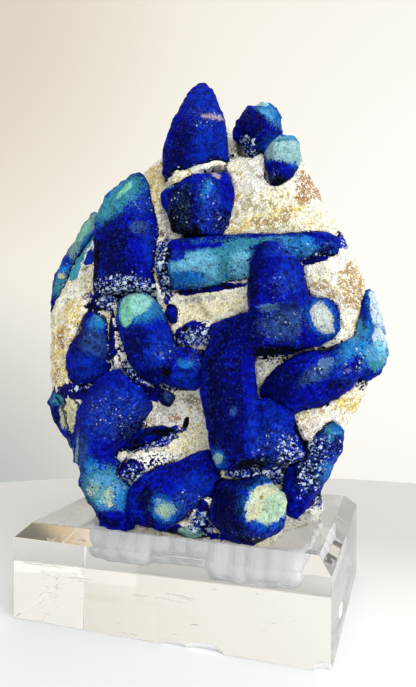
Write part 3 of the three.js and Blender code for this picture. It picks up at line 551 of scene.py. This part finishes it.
# Kinds of zone that are kept as shares on the vertices: on crystals thin specks, and dense shards
# of black and white; on marble, stains under its grains, and what lies over them.
FLAKES = ("specks", "shards")
# Among the stains, the dull colour is painted shade in deep places and also a few dark grains.
STAINS = ("olive", "honey", "lemon", "cream", "white", "grey", "dark_grain_and_shade", "tan", "rust", "blush",
          "brown")
COATS = ("navy", "royal", "teal", "sage", "ink", "buff")

FLAKE = 0.32           # width of the fine grains in mm
ZONE_DEPTH = 1000      # a zone reaches right through the specimen
FRINGE = 0.7           # width in mm of the bright blue round a pale cap


class Paint:
    """Writes a node tree. Numbers, colours and other nodes' outputs all serve as inputs."""

    def __init__(self, tree):
        self.tree = tree
        self.colour = None
        tree.nodes.clear()

    def add(self, kind, inputs=(), **values):
        """Add a shader node, with its settings and with values or links for its inputs."""
        node = self.tree.nodes.new("ShaderNode" + kind)
        for key, value in values.items():
            setattr(node, key, value)
        for key, value in dict(inputs).items():
            socket = node.inputs[key]
            if isinstance(value, bpy.types.NodeSocket):
                self.tree.links.new(value, socket)
            else:
                socket.default_value = (*value, 1) if socket.type == "RGBA" else value
        return node

    def maths(self, operation, *terms):
        return self.add("Math", enumerate(terms), operation=operation).outputs[0]

    def times(self, value, factor, more=0.0):
        """The value times the factor, with more added."""
        return self.maths("MULTIPLY_ADD", value, factor, more)

    def centred(self, share):
        return self.maths("SUBTRACT", share, 0.5)

    def ragged(self, share, mottle, reach):
        """The share, pushed up and down by the mottle."""
        return self.times(self.centred(mottle), reach, share)

    def remap(self, value, low, high, to_low=0.0, to_high=1.0, kind="SMOOTHSTEP"):
        inputs = {"Value": value, "From Min": low, "From Max": high,
                  "To Min": to_low, "To Max": to_high}
        return self.add("MapRange", inputs, interpolation_type=kind).outputs["Result"]

    def vector(self, operation, first, second):
        """The first vector with the second added or taken off, or scaled by a number."""
        inputs = {0: first, "Scale" if operation == "SCALE" else 1: second}
        return self.add("VectorMath", inputs, operation=operation).outputs[0]

    def shaded(self, colour, amount):
        """The colour made darker or lighter by that factor."""
        return self.vector("SCALE", colour, amount)

    def blend(self, share, under, over):
        """Colour `over` laid on colour `under`."""
        return self.add("Mix", {0: share, 6: under, 7: over}, data_type="RGBA").outputs[2]

    def lay(self, share, over):
        """Lay a colour over the one that is there."""
        self.colour = self.blend(share, self.colour, over)

    def object_spot(self):
        return self.add("TexCoord").outputs["Object"]

    def specimen_spot(self):
        """Millimetres in the specimen's leaning frame."""
        inputs = {"Vector": self.object_spot(), "Location": SPECIMEN_PLACE,
                  "Rotation": (-LEAN, 0, 0), "Scale": (MM, MM, MM)}
        return self.add("Mapping", inputs, vector_type="TEXTURE").outputs[0]

    def noise(self, spot, size, detail=2.0, roughness=0.5, stretch=None, output="Fac"):
        """A cloudy pattern, about 0 to 1, with features of that size."""
        if stretch:
            spot = self.add("Mapping", {"Vector": spot, "Scale": stretch}).outputs[0]
        inputs = {"Vector": spot, "Scale": 1 / size, "Detail": detail, "Roughness": roughness}
        return self.add("TexNoise", inputs).outputs[output]

    def warped(self, spot, size, reach):
        """The same place, pushed about by noise, so that edges drawn on it are uneven."""
        clouds = self.noise(spot, size, output="Color")
        push = self.vector("SUBTRACT", clouds, (0.5, 0.5, 0.5))
        return self.vector("ADD", spot, self.vector("SCALE", push, reach))

    def flakes(self, spot, size):
        """Angular grains of that size in mm: three random shares in each, and its middle."""
        jogged = self.warped(spot, 1.2 * size, 0.7 * size)
        cells = self.add("TexVoronoi", {"Vector": jogged, "Scale": 1 / size})
        shares = self.add("SeparateColor", {"Color": cells.outputs["Color"]})
        return list(shares.outputs), cells.outputs["Distance"]

    def some(self, share, chosen):
        """1 in that share of the grains, chosen by their random value."""
        return self.remap(self.maths("ADD", share, chosen), 1.0, 1.03)

    def stored(self, name):
        """What the vertices hold under that name."""
        return self.add("Attribute", attribute_name=name).outputs["Fac"]

    def share_of(self, name, mottle, reach=0.9, soft=0.11):
        """The share of a kind of zone that the vertices hold, with ragged edges."""
        edge = self.ragged(self.stored(name), mottle, reach)
        return self.remap(edge, 0.51 - soft, 0.51 + soft)

    def oval(self, spot, zone, soft, ragged, wider=0.0):
        """1 inside the zone's oval and 0 outside, through a ragged edge."""
        inputs = {"Vector": spot, "Location": (zone.x, 0, zone.z),
                  "Rotation": (0, -math.radians(zone.turn), 0),
                  "Scale": (zone.half_width + wider, ZONE_DEPTH, zone.half_height + wider)}
        local = self.add("Mapping", inputs, vector_type="TEXTURE").outputs[0]
        distance = self.add("VectorMath", {0: local}, operation="LENGTH").outputs["Value"]
        return self.remap(self.maths("ADD", distance, ragged), 1 + soft, 1 - soft)

    def lay_zones(self, spot, zones, mottle, grain, crystal):
        """Lay every coloured zone of a crystal over its base colour."""
        cloudy, grainy = self.centred(mottle), self.centred(grain)
        crisp = self.times(cloudy, 0.7, self.times(grainy, 0.12))
        loose = self.times(cloudy, 1.5, self.times(grainy, 0.6))
        for zone in (zone for zone in zones if zone.name not in FLAKES):
            if zone.name in FRINGED_COLOURS:
                fringe = self.oval(spot, zone, 0.3, loose, wider=FRINGE)
                self.lay(self.times(fringe, 0.75), crystal.azure)
            soft, ragged = (0.12, crisp) if zone.name in CRISP_COLOURS else (0.3, loose)
            self.lay(self.oval(spot, zone, soft, ragged), getattr(crystal, zone.name))

    def scatter_flakes(self, amount, fine, coarse, crystal):
        """Black, blue and white flakes over that share of a surface."""
        white = self.blend(fine[1], crystal.greyblue, crystal.speck)
        for part, chosen, colour in ((0.34, fine[2], crystal.ink), (0.24, fine[1], crystal.royal),
                                     (0.3, fine[0], white), (0.09, coarse[0], crystal.speck)):
            self.lay(self.some(self.times(amount, part), chosen), colour)

    def bump(self, height, strength, millimetres):
        inputs = {"Height": height, "Strength": strength, "Distance": millimetres * MM}
        return self.add("Bump", inputs).outputs["Normal"]

    def surface(self, **inputs):
        """Finish the material: a shader with these inputs, named with _ for each space."""
        named_inputs = {key.replace("_", " "): value for key, value in inputs.items()}
        shader = self.add("BsdfPrincipled", named_inputs)
        self.add("OutputMaterial", {"Surface": shader.outputs["BSDF"]})


def new_material(name):
    material = bpy.data.materials.new(name)
    material.use_nodes = True
    return material, Paint(material.node_tree)


# ---------------------------------------------------------------- crystals

def crystal_finish(name, zones, crystal):
    """Mottled, granular blue with zones (some painted shade, light and sheen), white grains, and a
    dark rim by the marble, partly painted shade.
    """
    material, paint = new_material(name)
    spot = paint.specimen_spot()
    uneven = paint.warped(paint.warped(spot, 4.0, 1.5), 0.8, 0.8)
    broad = paint.noise(spot, 5.0)
    mottle = paint.noise(spot, 1.2, 5.0, 0.72)
    fine, grain = paint.flakes(spot, FLAKE)
    coarse, _ = paint.flakes(spot, 0.75)
    tone = paint.times(broad, 0.35, paint.times(mottle, 0.5, paint.times(fine[2], 0.15)))
    paint.colour = crystal.navy
    paint.lay(paint.remap(tone, 0.38, 0.5), crystal.ultramarine)
    paint.lay(paint.remap(tone, 0.52, 0.66), crystal.royal)
    paint.lay_zones(uneven, zones, mottle, fine[1], crystal)

    # each grain catches the light its own way, most of all in the dark colours
    brightness = paint.add("RGBToBW", {"Color": paint.colour}).outputs[0]
    dark = paint.remap(brightness, 0.08, 0.3, 1.0, 0.3)
    cloud = paint.remap(mottle, 0.34, 0.66, -0.62, 0.5)
    glint = paint.times(fine[2], 0.5, -0.3)
    change = paint.times(paint.maths("ADD", cloud, glint), dark, 1.0)
    paint.colour = paint.shaded(paint.colour, change)
    paint.lay(paint.times(paint.some(0.08, fine[1]), 0.4), crystal.greyblue)

    # darker towards the marble: partly the crystal's own dark edge, partly painted shade in the
    # crease
    rim = paint.stored("rim")
    paint.lay(paint.remap(paint.ragged(rim, mottle, 1.6), 0.3, 0.6, 0.0, 0.85), crystal.ink)
    specks = paint.share_of("specks", mottle)
    scratch = paint.maths("ABSOLUTE", paint.centred(paint.noise(uneven, 0.7, 3.0)))
    line = paint.remap(scratch, 0.0, 0.03, 1.0, 0.0)
    paint.lay(paint.times(line, paint.times(specks, 0.5, 0.03)), crystal.haze)
    crack = paint.maths("ABSOLUTE", paint.centred(paint.noise(uneven, 2.2, 4.0)))
    paint.lay(paint.remap(crack, 0.0, 0.014, 0.75, 0.0), crystal.ink)
    few = paint.times(specks, 0.11, paint.times(rim, 0.2, 0.02))
    amount = paint.maths("MAXIMUM", few, paint.share_of("shards", mottle))
    paint.scatter_flakes(amount, fine, coarse, crystal)

    paint.surface(Base_Color=paint.colour, Roughness=paint.remap(fine[0], 0.0, 1.0, 0.62, 0.36),
                  IOR=1.52, Specular_IOR_Level=0.03,
                  Normal=paint.bump(paint.times(grain, -0.35, mottle), 1.0, 0.7))
    return material


def grow_crystal(node, crystal):
    """One crystal, or a group grown through each other, with uneven, pitted faces."""
    piece = copied_solid(node, f"{node}_grown")
    modify(piece, "REMESH", mode="VOXEL", voxel_size=crystal.cell)
    modify(piece, "SMOOTH", factor=0.5, iterations=1)
    refit(piece, node)
    roughen(piece, "crystal swell", "CLOUDS", 2.6 * MM, crystal.swell, noise_depth=1)
    roughen(piece, "crystal chips", "VORONOI", 1.5 * MM, 0.7 * crystal.swell)
    roughen(piece, "crystal pits", "CLOUDS", 0.8 * MM, crystal.pitting, noise_depth=2)
    marble = bpy.data.objects["marble_matrix_broken"]
    mark_nearness(piece, "rim", tree_of([marble]), crystal.rim)
    zones = [Zone(*zone) for zone in CRYSTAL_ZONES[node]]
    mark_shares(piece, zones, FLAKES)
    piece.data.materials.append(crystal_finish(f"{node} blue", zones, crystal))
    only(piece)
    bpy.ops.object.shade_smooth()
    hand_over(piece, node)


class GrowCrystals:
    """Shared by the operators that grow a group of crystals."""
    bl_options = {"REGISTER", "UNDO"}
    nodes = ()
    slot = "blue_crystal"

    def execute(self, context):
        for node in self.nodes:
            grow_crystal(node, context.scene.specimen_crystal)
        return {"FINISHED"}


class SPECIMEN_OT_top_crystals(GrowCrystals, bpy.types.Operator):
    """Grow the tall point, its stem and the two crystals at the top right"""
    bl_idname = "specimen.top_crystals"
    bl_label = "Top crystals"
    nodes = ("crystal_top_point", "crystal_top_stem", "crystals_top_right")


class SPECIMEN_OT_centre_crystals(GrowCrystals, bpy.types.Operator):
    """Grow the crossing barrels in the middle, and the bud under the pale bar"""
    bl_idname = "specimen.centre_crystals"
    bl_label = "Centre crystals"
    nodes = ("crystals_centre", "crystals_centre_left", "crystal_bar_bud")


class SPECIMEN_OT_left_crystals(GrowCrystals, bpy.types.Operator):
    """Grow the crystals of the left side"""
    bl_idname = "specimen.left_crystals"
    bl_label = "Left crystals"
    nodes = ("crystal_upper_left", "crystal_left_spindle", "crystal_lower_left")


class SPECIMEN_OT_right_crystals(GrowCrystals, bpy.types.Operator):
    """Grow the crystals of the right side"""
    bl_idname = "specimen.right_crystals"
    bl_label = "Right crystals"
    nodes = ("crystals_right", "crystal_right_lower")


class SPECIMEN_OT_bottom_crystals(GrowCrystals, bpy.types.Operator):
    """Grow the two barrels at the foot, and the wedge and bead in the window of marble"""
    bl_idname = "specimen.bottom_crystals"
    bl_label = "Bottom crystals"
    nodes = ("crystal_bottom_centre", "crystal_bottom_right", "crystal_window_wedge",
             "crystal_window_bead")


class SPECIMEN_OT_pale_crystals(GrowCrystals, bpy.types.Operator):
    """Grow the two pale slivers on the left edge"""
    bl_idname = "specimen.pale_crystals"
    bl_label = "Pale crystals"
    nodes = ("crystal_left_edge", "crystal_left_rim")
    slot = "pale_crystal"


# ---------------------------------------------------------------- pocket

# The pocket, in millimetres: its rim seen from above, and its floors, each as the least and the
# greatest x that it reaches, and its height.
POCKET_RIM = [
    (-18.0, -14.5), (-16.0, -18.4), (-13.0, -20.0), (-9.0, -20.4), (24.0, -20.4), (26.0, -19.4),
    (27.0, -17.0), (27.3, -10.0), (27.6, -1.0), (26.0, 6.5), (16.0, 11.5), (2.0, 12.5),
    (-12.0, 10.5), (-19.0, 4.0), (-20.8, -6.0),
]
POCKET_FLOORS = [(-30, 30, 14.5), (-30, -4.5, 13.5), (9.5, 30, 12.5)]

# Where the mill went down along the pocket's wall: (x, y, lowest point).
MILL_PLUNGES = [
    (-15.4, -17.6, 13.3), (-12.0, -18.9, 13.2), (-8.4, -19.2, 13.5), (-5.0, -18.9, 13.2),
    (-1.2, -19.2, 14.2), (2.8, -19.0, 14.6), (6.4, -19.2, 14.9),
    (11.4, -19.2, 12.4), (15.2, -18.9, 12.0), (18.6, -19.2, 12.5), (22.0, -18.9, 12.1),
    (24.9, -18.6, 12.2), (25.5, -14.8, 12.8), (25.6, -10.8, 12.4), (25.8, -6.4, 12.7),
    (25.8, -2.0, 12.3), (25.0, 2.4, 12.7), (-17.6, -12.0, 13.4), (-17.8, -6.0, 13.1),
    (-17.4, -0.6, 13.4),
]


def pocket_floor(x):
    """How deep the pocket goes at that place, in millimetres above the block's underside."""
    return min(height for least, greatest, height in POCKET_FLOORS if least <= x <= greatest)


# ---------------------------------------------------------------- marble

TOUCH = 1 * MM           # how near a crystal the marble is peppered with its grains
SMOOTH_FOOT = 3 * MM     # height above the block over which the marble grows rough
FOOT_TOP = 18 * MM
FOOT_GAP = 0.15          # in millimetres, as the pocket's floors are


def marble_finish(marble, crystal):
    """Sugary white calcite, stained cream, honey and rust, with painted shade in deep places, dark
    grains in the seams, and a painted shadow under the pale bar.
    """
    material, paint = new_material("sugary marble")
    spot = paint.specimen_spot()
    broad = paint.noise(spot, 12.0, 3.0)
    mottle = paint.noise(spot, 1.8, 5.0, 0.7)
    fine, grain = paint.flakes(spot, FLAKE)
    coarse, _ = paint.flakes(spot, 0.7)
    paint.colour = marble.white
    paint.lay(paint.remap(broad, 0.36, 0.58), marble.cream)
    paint.lay(paint.remap(mottle, 0.46, 0.66, 0.0, 0.6), marble.honey)
    # the stains, and painted shade in deep places
    for name in STAINS:
        share = paint.share_of(name, mottle, 1.1)
        paint.lay(paint.times(share, 0.85), getattr(marble, name))

    # clear grains look darker, powdery ones white, and a few are stained brown
    clear = paint.remap(fine[2], 0.0, 1.0, 0.58, 1.25, kind="LINEAR")
    paint.colour = paint.shaded(paint.colour, clear)
    paint.lay(paint.times(paint.some(0.32, fine[0]), 0.8), marble.white)
    stained = paint.times(paint.remap(mottle, 0.46, 0.64), 0.26)
    paint.lay(paint.times(paint.some(stained, coarse[1]), 0.65), marble.tan)
    paint.lay(paint.times(paint.some(stained, fine[1]), 0.7), marble.dark_grain_and_shade)

    near = paint.remap(paint.ragged(paint.stored("touch"), mottle, 1.2), 0.5, 0.8)
    pepper = paint.times(near, 0.35, paint.share_of("pepper", mottle))
    # dark seams between the crystals, and a painted shadow under the pale bar
    dark = paint.blend(paint.remap(mottle, 0.42, 0.52), crystal.ink, crystal.navy)
    dark = paint.blend(paint.remap(mottle, 0.52, 0.62), dark, crystal.ultramarine)
    paint.lay(paint.share_of("seam", mottle, soft=0.04), dark)
    uneven = paint.remap(mottle, 0.36, 0.64, 0.6, 1.3)
    for name in COATS:
        coat = paint.shaded(getattr(crystal, name), uneven)
        paint.lay(paint.share_of(name, mottle, 0.7, 0.03), coat)
    peppered = paint.times(pepper, 0.3)
    paint.lay(paint.some(peppered, coarse[2]), crystal.ink)
    paint.lay(paint.some(peppered, fine[1]), crystal.navy)
    paint.scatter_flakes(paint.share_of("shards", mottle), fine, coarse, crystal)

    paint.surface(Base_Color=paint.colour, Roughness=paint.remap(fine[0], 0.0, 1.0, 0.75, 0.4),
                  IOR=1.5, Specular_IOR_Level=0.06,
                  Normal=paint.bump(paint.times(grain, -0.6, mottle), 0.8, 0.5))
    return material


def free_share(piece, low, high):
    """Weight the vertices from 0 at the low height to 1 at the high one, as the group `free`."""
    group = piece.vertex_groups.new(name="free")
    for vertex in piece.data.vertices:
        share = (vertex.co.z - low) / (high - low)
        group.add([vertex.index], max(0.0, min(1.0, share)), "REPLACE")


def lap_onto(piece, tree, lap):
    """Draw the vertices that are near the tree's surfaces unevenly up to them."""
    reach = 2.6 * lap
    for vertex in piece.data.vertices:
        place, _, _, distance = tree.find_nearest(vertex.co, reach)
        if place is not None and distance > 1e-6:
            uneven = 0.8 + 0.6 * turbulence.noise(vertex.co / (1.4 * MM))
            step = min(distance + 0.3 * lap, lap * uneven * (1.4 - distance / reach))
            vertex.co += (place - vertex.co) * (step / distance)


def stand_in_pocket(piece):
    """Keep the foot just clear of the pocket's floor."""
    for vertex in piece.data.vertices:
        if vertex.co.z < FOOT_TOP:
            floor = pocket_floor(vertex.co.x / MM) + FOOT_GAP
            vertex.co.z = max(vertex.co.z, floor * MM)


class SPECIMEN_OT_marble_matrix(bpy.types.Operator):
    """Break and stain the marble that holds the crystals"""
    bl_idname = "specimen.marble_matrix"
    bl_label = "Marble matrix"
    bl_options = {"REGISTER", "UNDO"}

    def execute(self, context):
        marble = context.scene.specimen_marble
        piece = copied_solid("marble_matrix", "marble_matrix_broken")
        modify(piece, "REMESH", mode="VOXEL", voxel_size=marble.cell)
        free_share(piece, BLOCK_HIGH[2], BLOCK_HIGH[2] + SMOOTH_FOOT)
        for name, kind, size, depth in (("marble lumps", "CLOUDS", 5, marble.lumps),
                                        ("marble grains", "VORONOI", 1.5, marble.grains),
                                        ("marble sugar", "CLOUDS", 0.8, 0.6 * marble.grains)):
            roughen(piece, name, kind, size * MM, depth, group="free")
        crystals = tree_of([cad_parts[node] for node in CRYSTAL_ZONES])
        lap_onto(piece, crystals, marble.lap)
        mark_nearness(piece, "touch", crystals, TOUCH)
        zones = [Zone(name, *oval) for name, ovals in MARBLE_ZONES.items() for oval in ovals]
        mark_shares(piece, zones, STAINS)
        mark_shares(piece, zones, COATS + ("seam", "pepper", "shards"), in_front=True)
        stand_in_pocket(piece)
        piece.vertex_groups.clear()
        piece.data.materials.append(marble_finish(marble, context.scene.specimen_crystal))
        only(piece)
        bpy.ops.object.shade_smooth()
        hand_over(piece, "marble_matrix")
        return {"FINISHED"}


# ---------------------------------------------------------------- acrylic block

ACRYLIC_IOR = 1.49
CUT_TOP = BLOCK_HIGH[2] + 2 * MM   # the shapes that cut the pocket end above the block
# Chips broken from the lower front edge: (x, width, height) in millimetres.
EDGE_CHIPS = [(3.2, 5.5, 1.1), (9.5, 8.0, 1.6), (32.6, 4.4, 1.9)]


def acrylic_finish(block):
    """Clear acrylic with a few short scratches."""
    material, paint = new_material("clear acrylic")
    spot = paint.object_spot()
    lines = paint.noise(spot, 1.0, stretch=(90, 400, 1500))
    places = paint.noise(spot, 1.0, stretch=(70, 70, 160))
    scratches = paint.times(paint.remap(lines, 0.6, 0.66), paint.remap(places, 0.58, 0.64))
    paint.surface(Base_Color=block.clear, Transmission_Weight=1.0, IOR=ACRYLIC_IOR,
                  Roughness=paint.times(scratches, 0.5), Normal=paint.bump(scratches, 0.5, 0.1))
    return material


def frosted_finish(block):
    """The milled wall of the pocket: frosted, with upright tool marks."""
    material, paint = new_material("frosted acrylic")
    spot = paint.object_spot()
    marks = paint.noise(spot, 1.0, 3.0, 0.6, stretch=(1400, 1400, 60))
    haze = paint.noise(spot, 1.0, stretch=(160, 160, 160))
    paint.surface(Base_Color=block.frost, IOR=ACRYLIC_IOR,
                  Transmission_Weight=paint.remap(haze, 0.35, 0.65, 0.15, 0.45),
                  Roughness=paint.remap(marks, 0.3, 0.7, 0.3, 0.55),
                  Normal=paint.bump(marks, 0.6, 0.3))
    return material


def milled_flat(left, right, floor):
    """The part of the pocket between two places along X, down to that floor, as a prism."""
    bpy.ops.object.select_all(action="DESELECT")
    bpy.ops.mesh.primitive_circle_add(vertices=len(POCKET_RIM), radius=MM, fill_type="NGON")
    flat = named("milled flat")
    for vertex, (x, y) in zip(flat.data.vertices, POCKET_RIM):
        vertex.co = (min(max(x, left), right) * MM, y * MM, CUT_TOP)
    bpy.ops.object.mode_set(mode="EDIT")
    bpy.ops.mesh.select_all(action="SELECT")
    bpy.ops.mesh.remove_doubles(threshold=1e-5)
    bpy.ops.mesh.extrude_region_move(TRANSFORM_OT_translate={"value": (0, 0, floor * MM - CUT_TOP)})
    bpy.ops.mesh.select_all(action="SELECT")
    bpy.ops.mesh.normals_make_consistent(inside=False)
    bpy.ops.object.mode_set(mode="OBJECT")
    return flat


def mill_plunge(x, y, floor, radius):
    """The round-nosed hole of one plunge of the mill."""
    bpy.ops.object.select_all(action="DESELECT")
    bpy.ops.mesh.primitive_uv_sphere_add(
        segments=24, ring_count=12, radius=radius, location=(x * MM, y * MM, floor * MM + radius))
    hole = named("mill plunge")
    bpy.ops.object.transform_apply(location=True)
    for vertex in hole.data.vertices:
        if vertex.co.z > floor * MM + 1.01 * radius:
            vertex.co.z += CUT_TOP - floor * MM - 2 * radius
    return hole


def edge_chip(x, width, height):
    """The shallow, angular space of one chip."""
    bpy.ops.object.select_all(action="DESELECT")
    bpy.ops.mesh.primitive_ico_sphere_add(
        subdivisions=2, radius=1, location=(x * MM, BLOCK_LOW[1], 0),
        scale=(width / 2 * MM, 0.7 * height * MM, height * MM))
    chip = named("edge chip")
    bpy.ops.object.transform_apply(location=True, scale=True)
    return chip


def pocket_cutter(block):
    """The whole space milled out of the block, as one closed shape."""
    parts = [milled_flat(*flat) for flat in POCKET_FLOORS]
    parts += [mill_plunge(*plunge, block.mill) for plunge in MILL_PLUNGES]
    cutter = only(parts[0])
    for part in parts:
        part.select_set(True)
    bpy.ops.object.join()
    modify(cutter, "REMESH", mode="VOXEL", voxel_size=block.cell)
    modify(cutter, "SMOOTH", factor=0.5, iterations=9)
    return cutter


def cut(base, cutter):
    """Take the cutter's space out of the base. The cut faces get the base's second material."""
    for material in base.data.materials:
        cutter.data.materials.append(material)
    for face in cutter.data.polygons:
        face.material_index = 1
    modify(base, "BOOLEAN", operation="DIFFERENCE", solver="EXACT", object=cutter)
    bpy.data.objects.remove(cutter, do_unlink=True)


class SPECIMEN_OT_acrylic_base(bpy.types.Operator):
    """Make the clear block with its chamfer and its frosted pocket"""
    bl_idname = "specimen.acrylic_base"
    bl_label = "Acrylic base"
    bl_options = {"REGISTER", "UNDO"}

    def execute(self, context):
        block = context.scene.specimen_block
        low, high = Vector(BLOCK_LOW), Vector(BLOCK_HIGH)
        bpy.ops.object.select_all(action="DESELECT")
        bpy.ops.mesh.primitive_cube_add(size=1, location=(low + high) / 2, scale=high - low)
        base = named("acrylic_block")
        bpy.ops.object.transform_apply(location=True, rotation=True, scale=True)
        bpy.ops.object.mode_set(mode="EDIT")
        bpy.ops.mesh.select_mode(type="EDGE")
        bpy.ops.mesh.select_all(action="DESELECT")
        bpy.ops.object.mode_set(mode="OBJECT")
        for edge in base.data.edges:
            edge.select = all(base.data.vertices[i].co.z > high.z - MM for i in edge.vertices)
        bpy.ops.object.mode_set(mode="EDIT")
        bpy.ops.mesh.bevel(offset=block.chamfer, segments=1, affect="EDGES")
        bpy.ops.object.mode_set(mode="OBJECT")
        modify(base, "BEVEL", width=block.arris, segments=3, limit_method="ANGLE",
               angle_limit=math.radians(30))
        cutter = pocket_cutter(block)
        for material in (acrylic_finish(block), frosted_finish(block)):
            base.data.materials.append(material)
        cut(base, cutter)
        for chip in EDGE_CHIPS:
            cut(base, edge_chip(*chip))
        for face in base.data.polygons:
            face.use_smooth = face.material_index == 1
        hand_over(base, "acrylic_base")
        return {"FINISHED"}


# ---------------------------------------------------------------- stage

CAMERA_PLACE = (47.14 * MM, -134.65 * MM, 59.93 * MM)
CAMERA_YAW = math.radians(-18.654)
CAMERA_DOWN = math.radians(0.524)
CAMERA_ROLL = math.radians(0.111)
CAMERA_NEAREST = 5 * MM

FLOOR_HEIGHT = -0.05 * MM
# The pale wall all round, and the regions of other light that lie over it, later ones over
# earlier: (towards, its inner and outer radius in degrees, colour). The lamp shines besides.
WALL = "f6f1e5"
LIGHT_REGIONS = [
    ((-0.75, 0.55, 0.55), 5, 32, "dad1c3"), ((-0.75, 0.55, -0.45), 10, 38, "b4bab8"),
    ((0.2, 0.86, -0.48), 8, 27, "d4d2d8"), ((0.15, 0.98, 0.08), 5, 35, "fffef9"),
    ((0, -1, 0.1), 50, 105, "babcc0"), ((-1, -0.5, 0.1), 20, 60, "c0c1c5"),
    ((0.48, 0.46, 0.74), 11, 18, "dcc29c"), ((0.37, 0.58, 0.725), 3.5, 9, "fff6e2"),
    ((0.56, 0.38, 0.735), 4.5, 8, "756f60"),
]
LAMP = ((0.7, -0.6, 0.65), 12, 46)
LAMP_COLOUR = (0.98, 0.99, 1)


def floor_finish(colour):
    """A pale floor, very slightly uneven, with painted shade: darker towards the left and further
    back.
    """
    material, paint = new_material("pale floor")
    spot = paint.object_spot()
    apart = paint.add("SeparateXYZ", {"Vector": spot}).outputs
    clouds = paint.noise(spot, 0.08)
    # painted shade: darker towards the left, lighter to the right
    paint.colour = paint.shaded(colour, paint.remap(apart["X"], -0.08, 0.05, 0.88, 1.08))
    # painted shade: darker further back
    away = paint.remap(paint.times(clouds, 0.02, apart["Y"]), -0.01, 0.07)
    paint.lay(away, [0.68 * share for share in colour])
    paint.surface(Base_Color=paint.colour, Roughness=0.5)
    return material


def light_world(world, key):
    """Soft light from all round, in large regions, with a lamp over the right shoulder."""
    world.use_nodes = True
    paint = Paint(world.node_tree)
    way = paint.add("TexCoord").outputs["Generated"]

    def region(towards, inner, outer):
        inputs = {0: way, 1: Vector(towards).normalized()}
        nearness = paint.add("VectorMath", inputs, operation="DOT_PRODUCT").outputs["Value"]
        return paint.remap(nearness, math.cos(math.radians(outer)), math.cos(math.radians(inner)))

    paint.colour = from_hex(WALL)
    for *place, code in LIGHT_REGIONS:
        paint.lay(region(*place), from_hex(code))
    lamp = paint.times(region(*LAMP), key)
    soft = paint.add("Background", {"Color": paint.colour, "Strength": 1.0})
    bright = paint.add("Background", {"Color": LAMP_COLOUR, "Strength": lamp})
    both = paint.add("AddShader", {0: soft.outputs[0], 1: bright.outputs[0]})
    paint.add("OutputWorld", {"Surface": both.outputs[0]})


class SPECIMEN_OT_stage(bpy.types.Operator):
    """Set the floor, the light and the camera"""
    bl_idname = "specimen.stage"
    bl_label = "Stage"
    bl_options = {"REGISTER", "UNDO"}

    def execute(self, context):
        scene = context.scene
        stage = scene.specimen_stage
        bpy.ops.object.select_all(action="DESELECT")
        bpy.ops.mesh.primitive_circle_add(
            vertices=128, radius=stage.floor_radius, fill_type="NGON",
            location=(CAMERA_PLACE[0], CAMERA_PLACE[1], FLOOR_HEIGHT))
        floor = named("floor")
        bpy.ops.object.transform_apply(location=True)
        floor.data.materials.append(floor_finish(stage.floor))

        scene.world = bpy.data.worlds.new("soft studio")
        light_world(scene.world, stage.key)

        ahead = Vector((math.sin(CAMERA_YAW) * math.cos(CAMERA_DOWN),
                        math.cos(CAMERA_YAW) * math.cos(CAMERA_DOWN), -math.sin(CAMERA_DOWN)))
        across = Vector((math.cos(CAMERA_YAW), -math.sin(CAMERA_YAW), 0))
        up = across.cross(ahead)
        side = math.cos(CAMERA_ROLL) * across + math.sin(CAMERA_ROLL) * up
        up = side.cross(ahead)
        bpy.ops.object.camera_add()
        camera = context.object
        camera.name = "camera"
        turn = Matrix((side, up, -ahead)).transposed().to_4x4()
        camera.matrix_world = Matrix.Translation(CAMERA_PLACE) @ turn
        camera.data.lens = stage.lens
        camera.data.clip_start = CAMERA_NEAREST
        scene.camera = camera
        scene.view_settings.view_transform = "Standard"
        return {"FINISHED"}


# ---------------------------------------------------------------- panel and registration

class SPECIMEN_PT_panel(bpy.types.Panel):
    """Lists the steps that dress the specimen"""
    bl_label = "Afghanite Specimen"
    bl_space_type = "VIEW_3D"
    bl_region_type = "UI"
    bl_category = "Specimen"

    def draw(self, context):
        for step in STEPS:
            self.layout.operator(step.bl_idname)


SETTINGS = {
    "specimen_crystal": CrystalSettings,
    "specimen_marble": MarbleSettings,
    "specimen_block": BlockSettings,
    "specimen_stage": StageSettings,
}
STEPS = (
    SPECIMEN_OT_stage,
    SPECIMEN_OT_acrylic_base,
    SPECIMEN_OT_marble_matrix,
    SPECIMEN_OT_top_crystals,
    SPECIMEN_OT_centre_crystals,
    SPECIMEN_OT_left_crystals,
    SPECIMEN_OT_right_crystals,
    SPECIMEN_OT_bottom_crystals,
    SPECIMEN_OT_pale_crystals,
)


def register():
    for kind in (*SETTINGS.values(), *STEPS, SPECIMEN_PT_panel):
        bpy.utils.register_class(kind)
    for name, kind in SETTINGS.items():
        setattr(bpy.types.Scene, name, PointerProperty(type=kind))


def unregister():
    for name in SETTINGS:
        delattr(bpy.types.Scene, name)
    for kind in (SPECIMEN_PT_panel, *reversed(STEPS), *SETTINGS.values()):
        bpy.utils.unregister_class(kind)


def main():
    register()
    bpy.ops.specimen.stage()
    bpy.ops.specimen.acrylic_base()
    bpy.ops.specimen.marble_matrix()
    bpy.ops.specimen.top_crystals()
    bpy.ops.specimen.centre_crystals()
    bpy.ops.specimen.left_crystals()
    bpy.ops.specimen.right_crystals()
    bpy.ops.specimen.bottom_crystals()
    bpy.ops.specimen.pale_crystals()


if __name__ == "__main__":
    main()
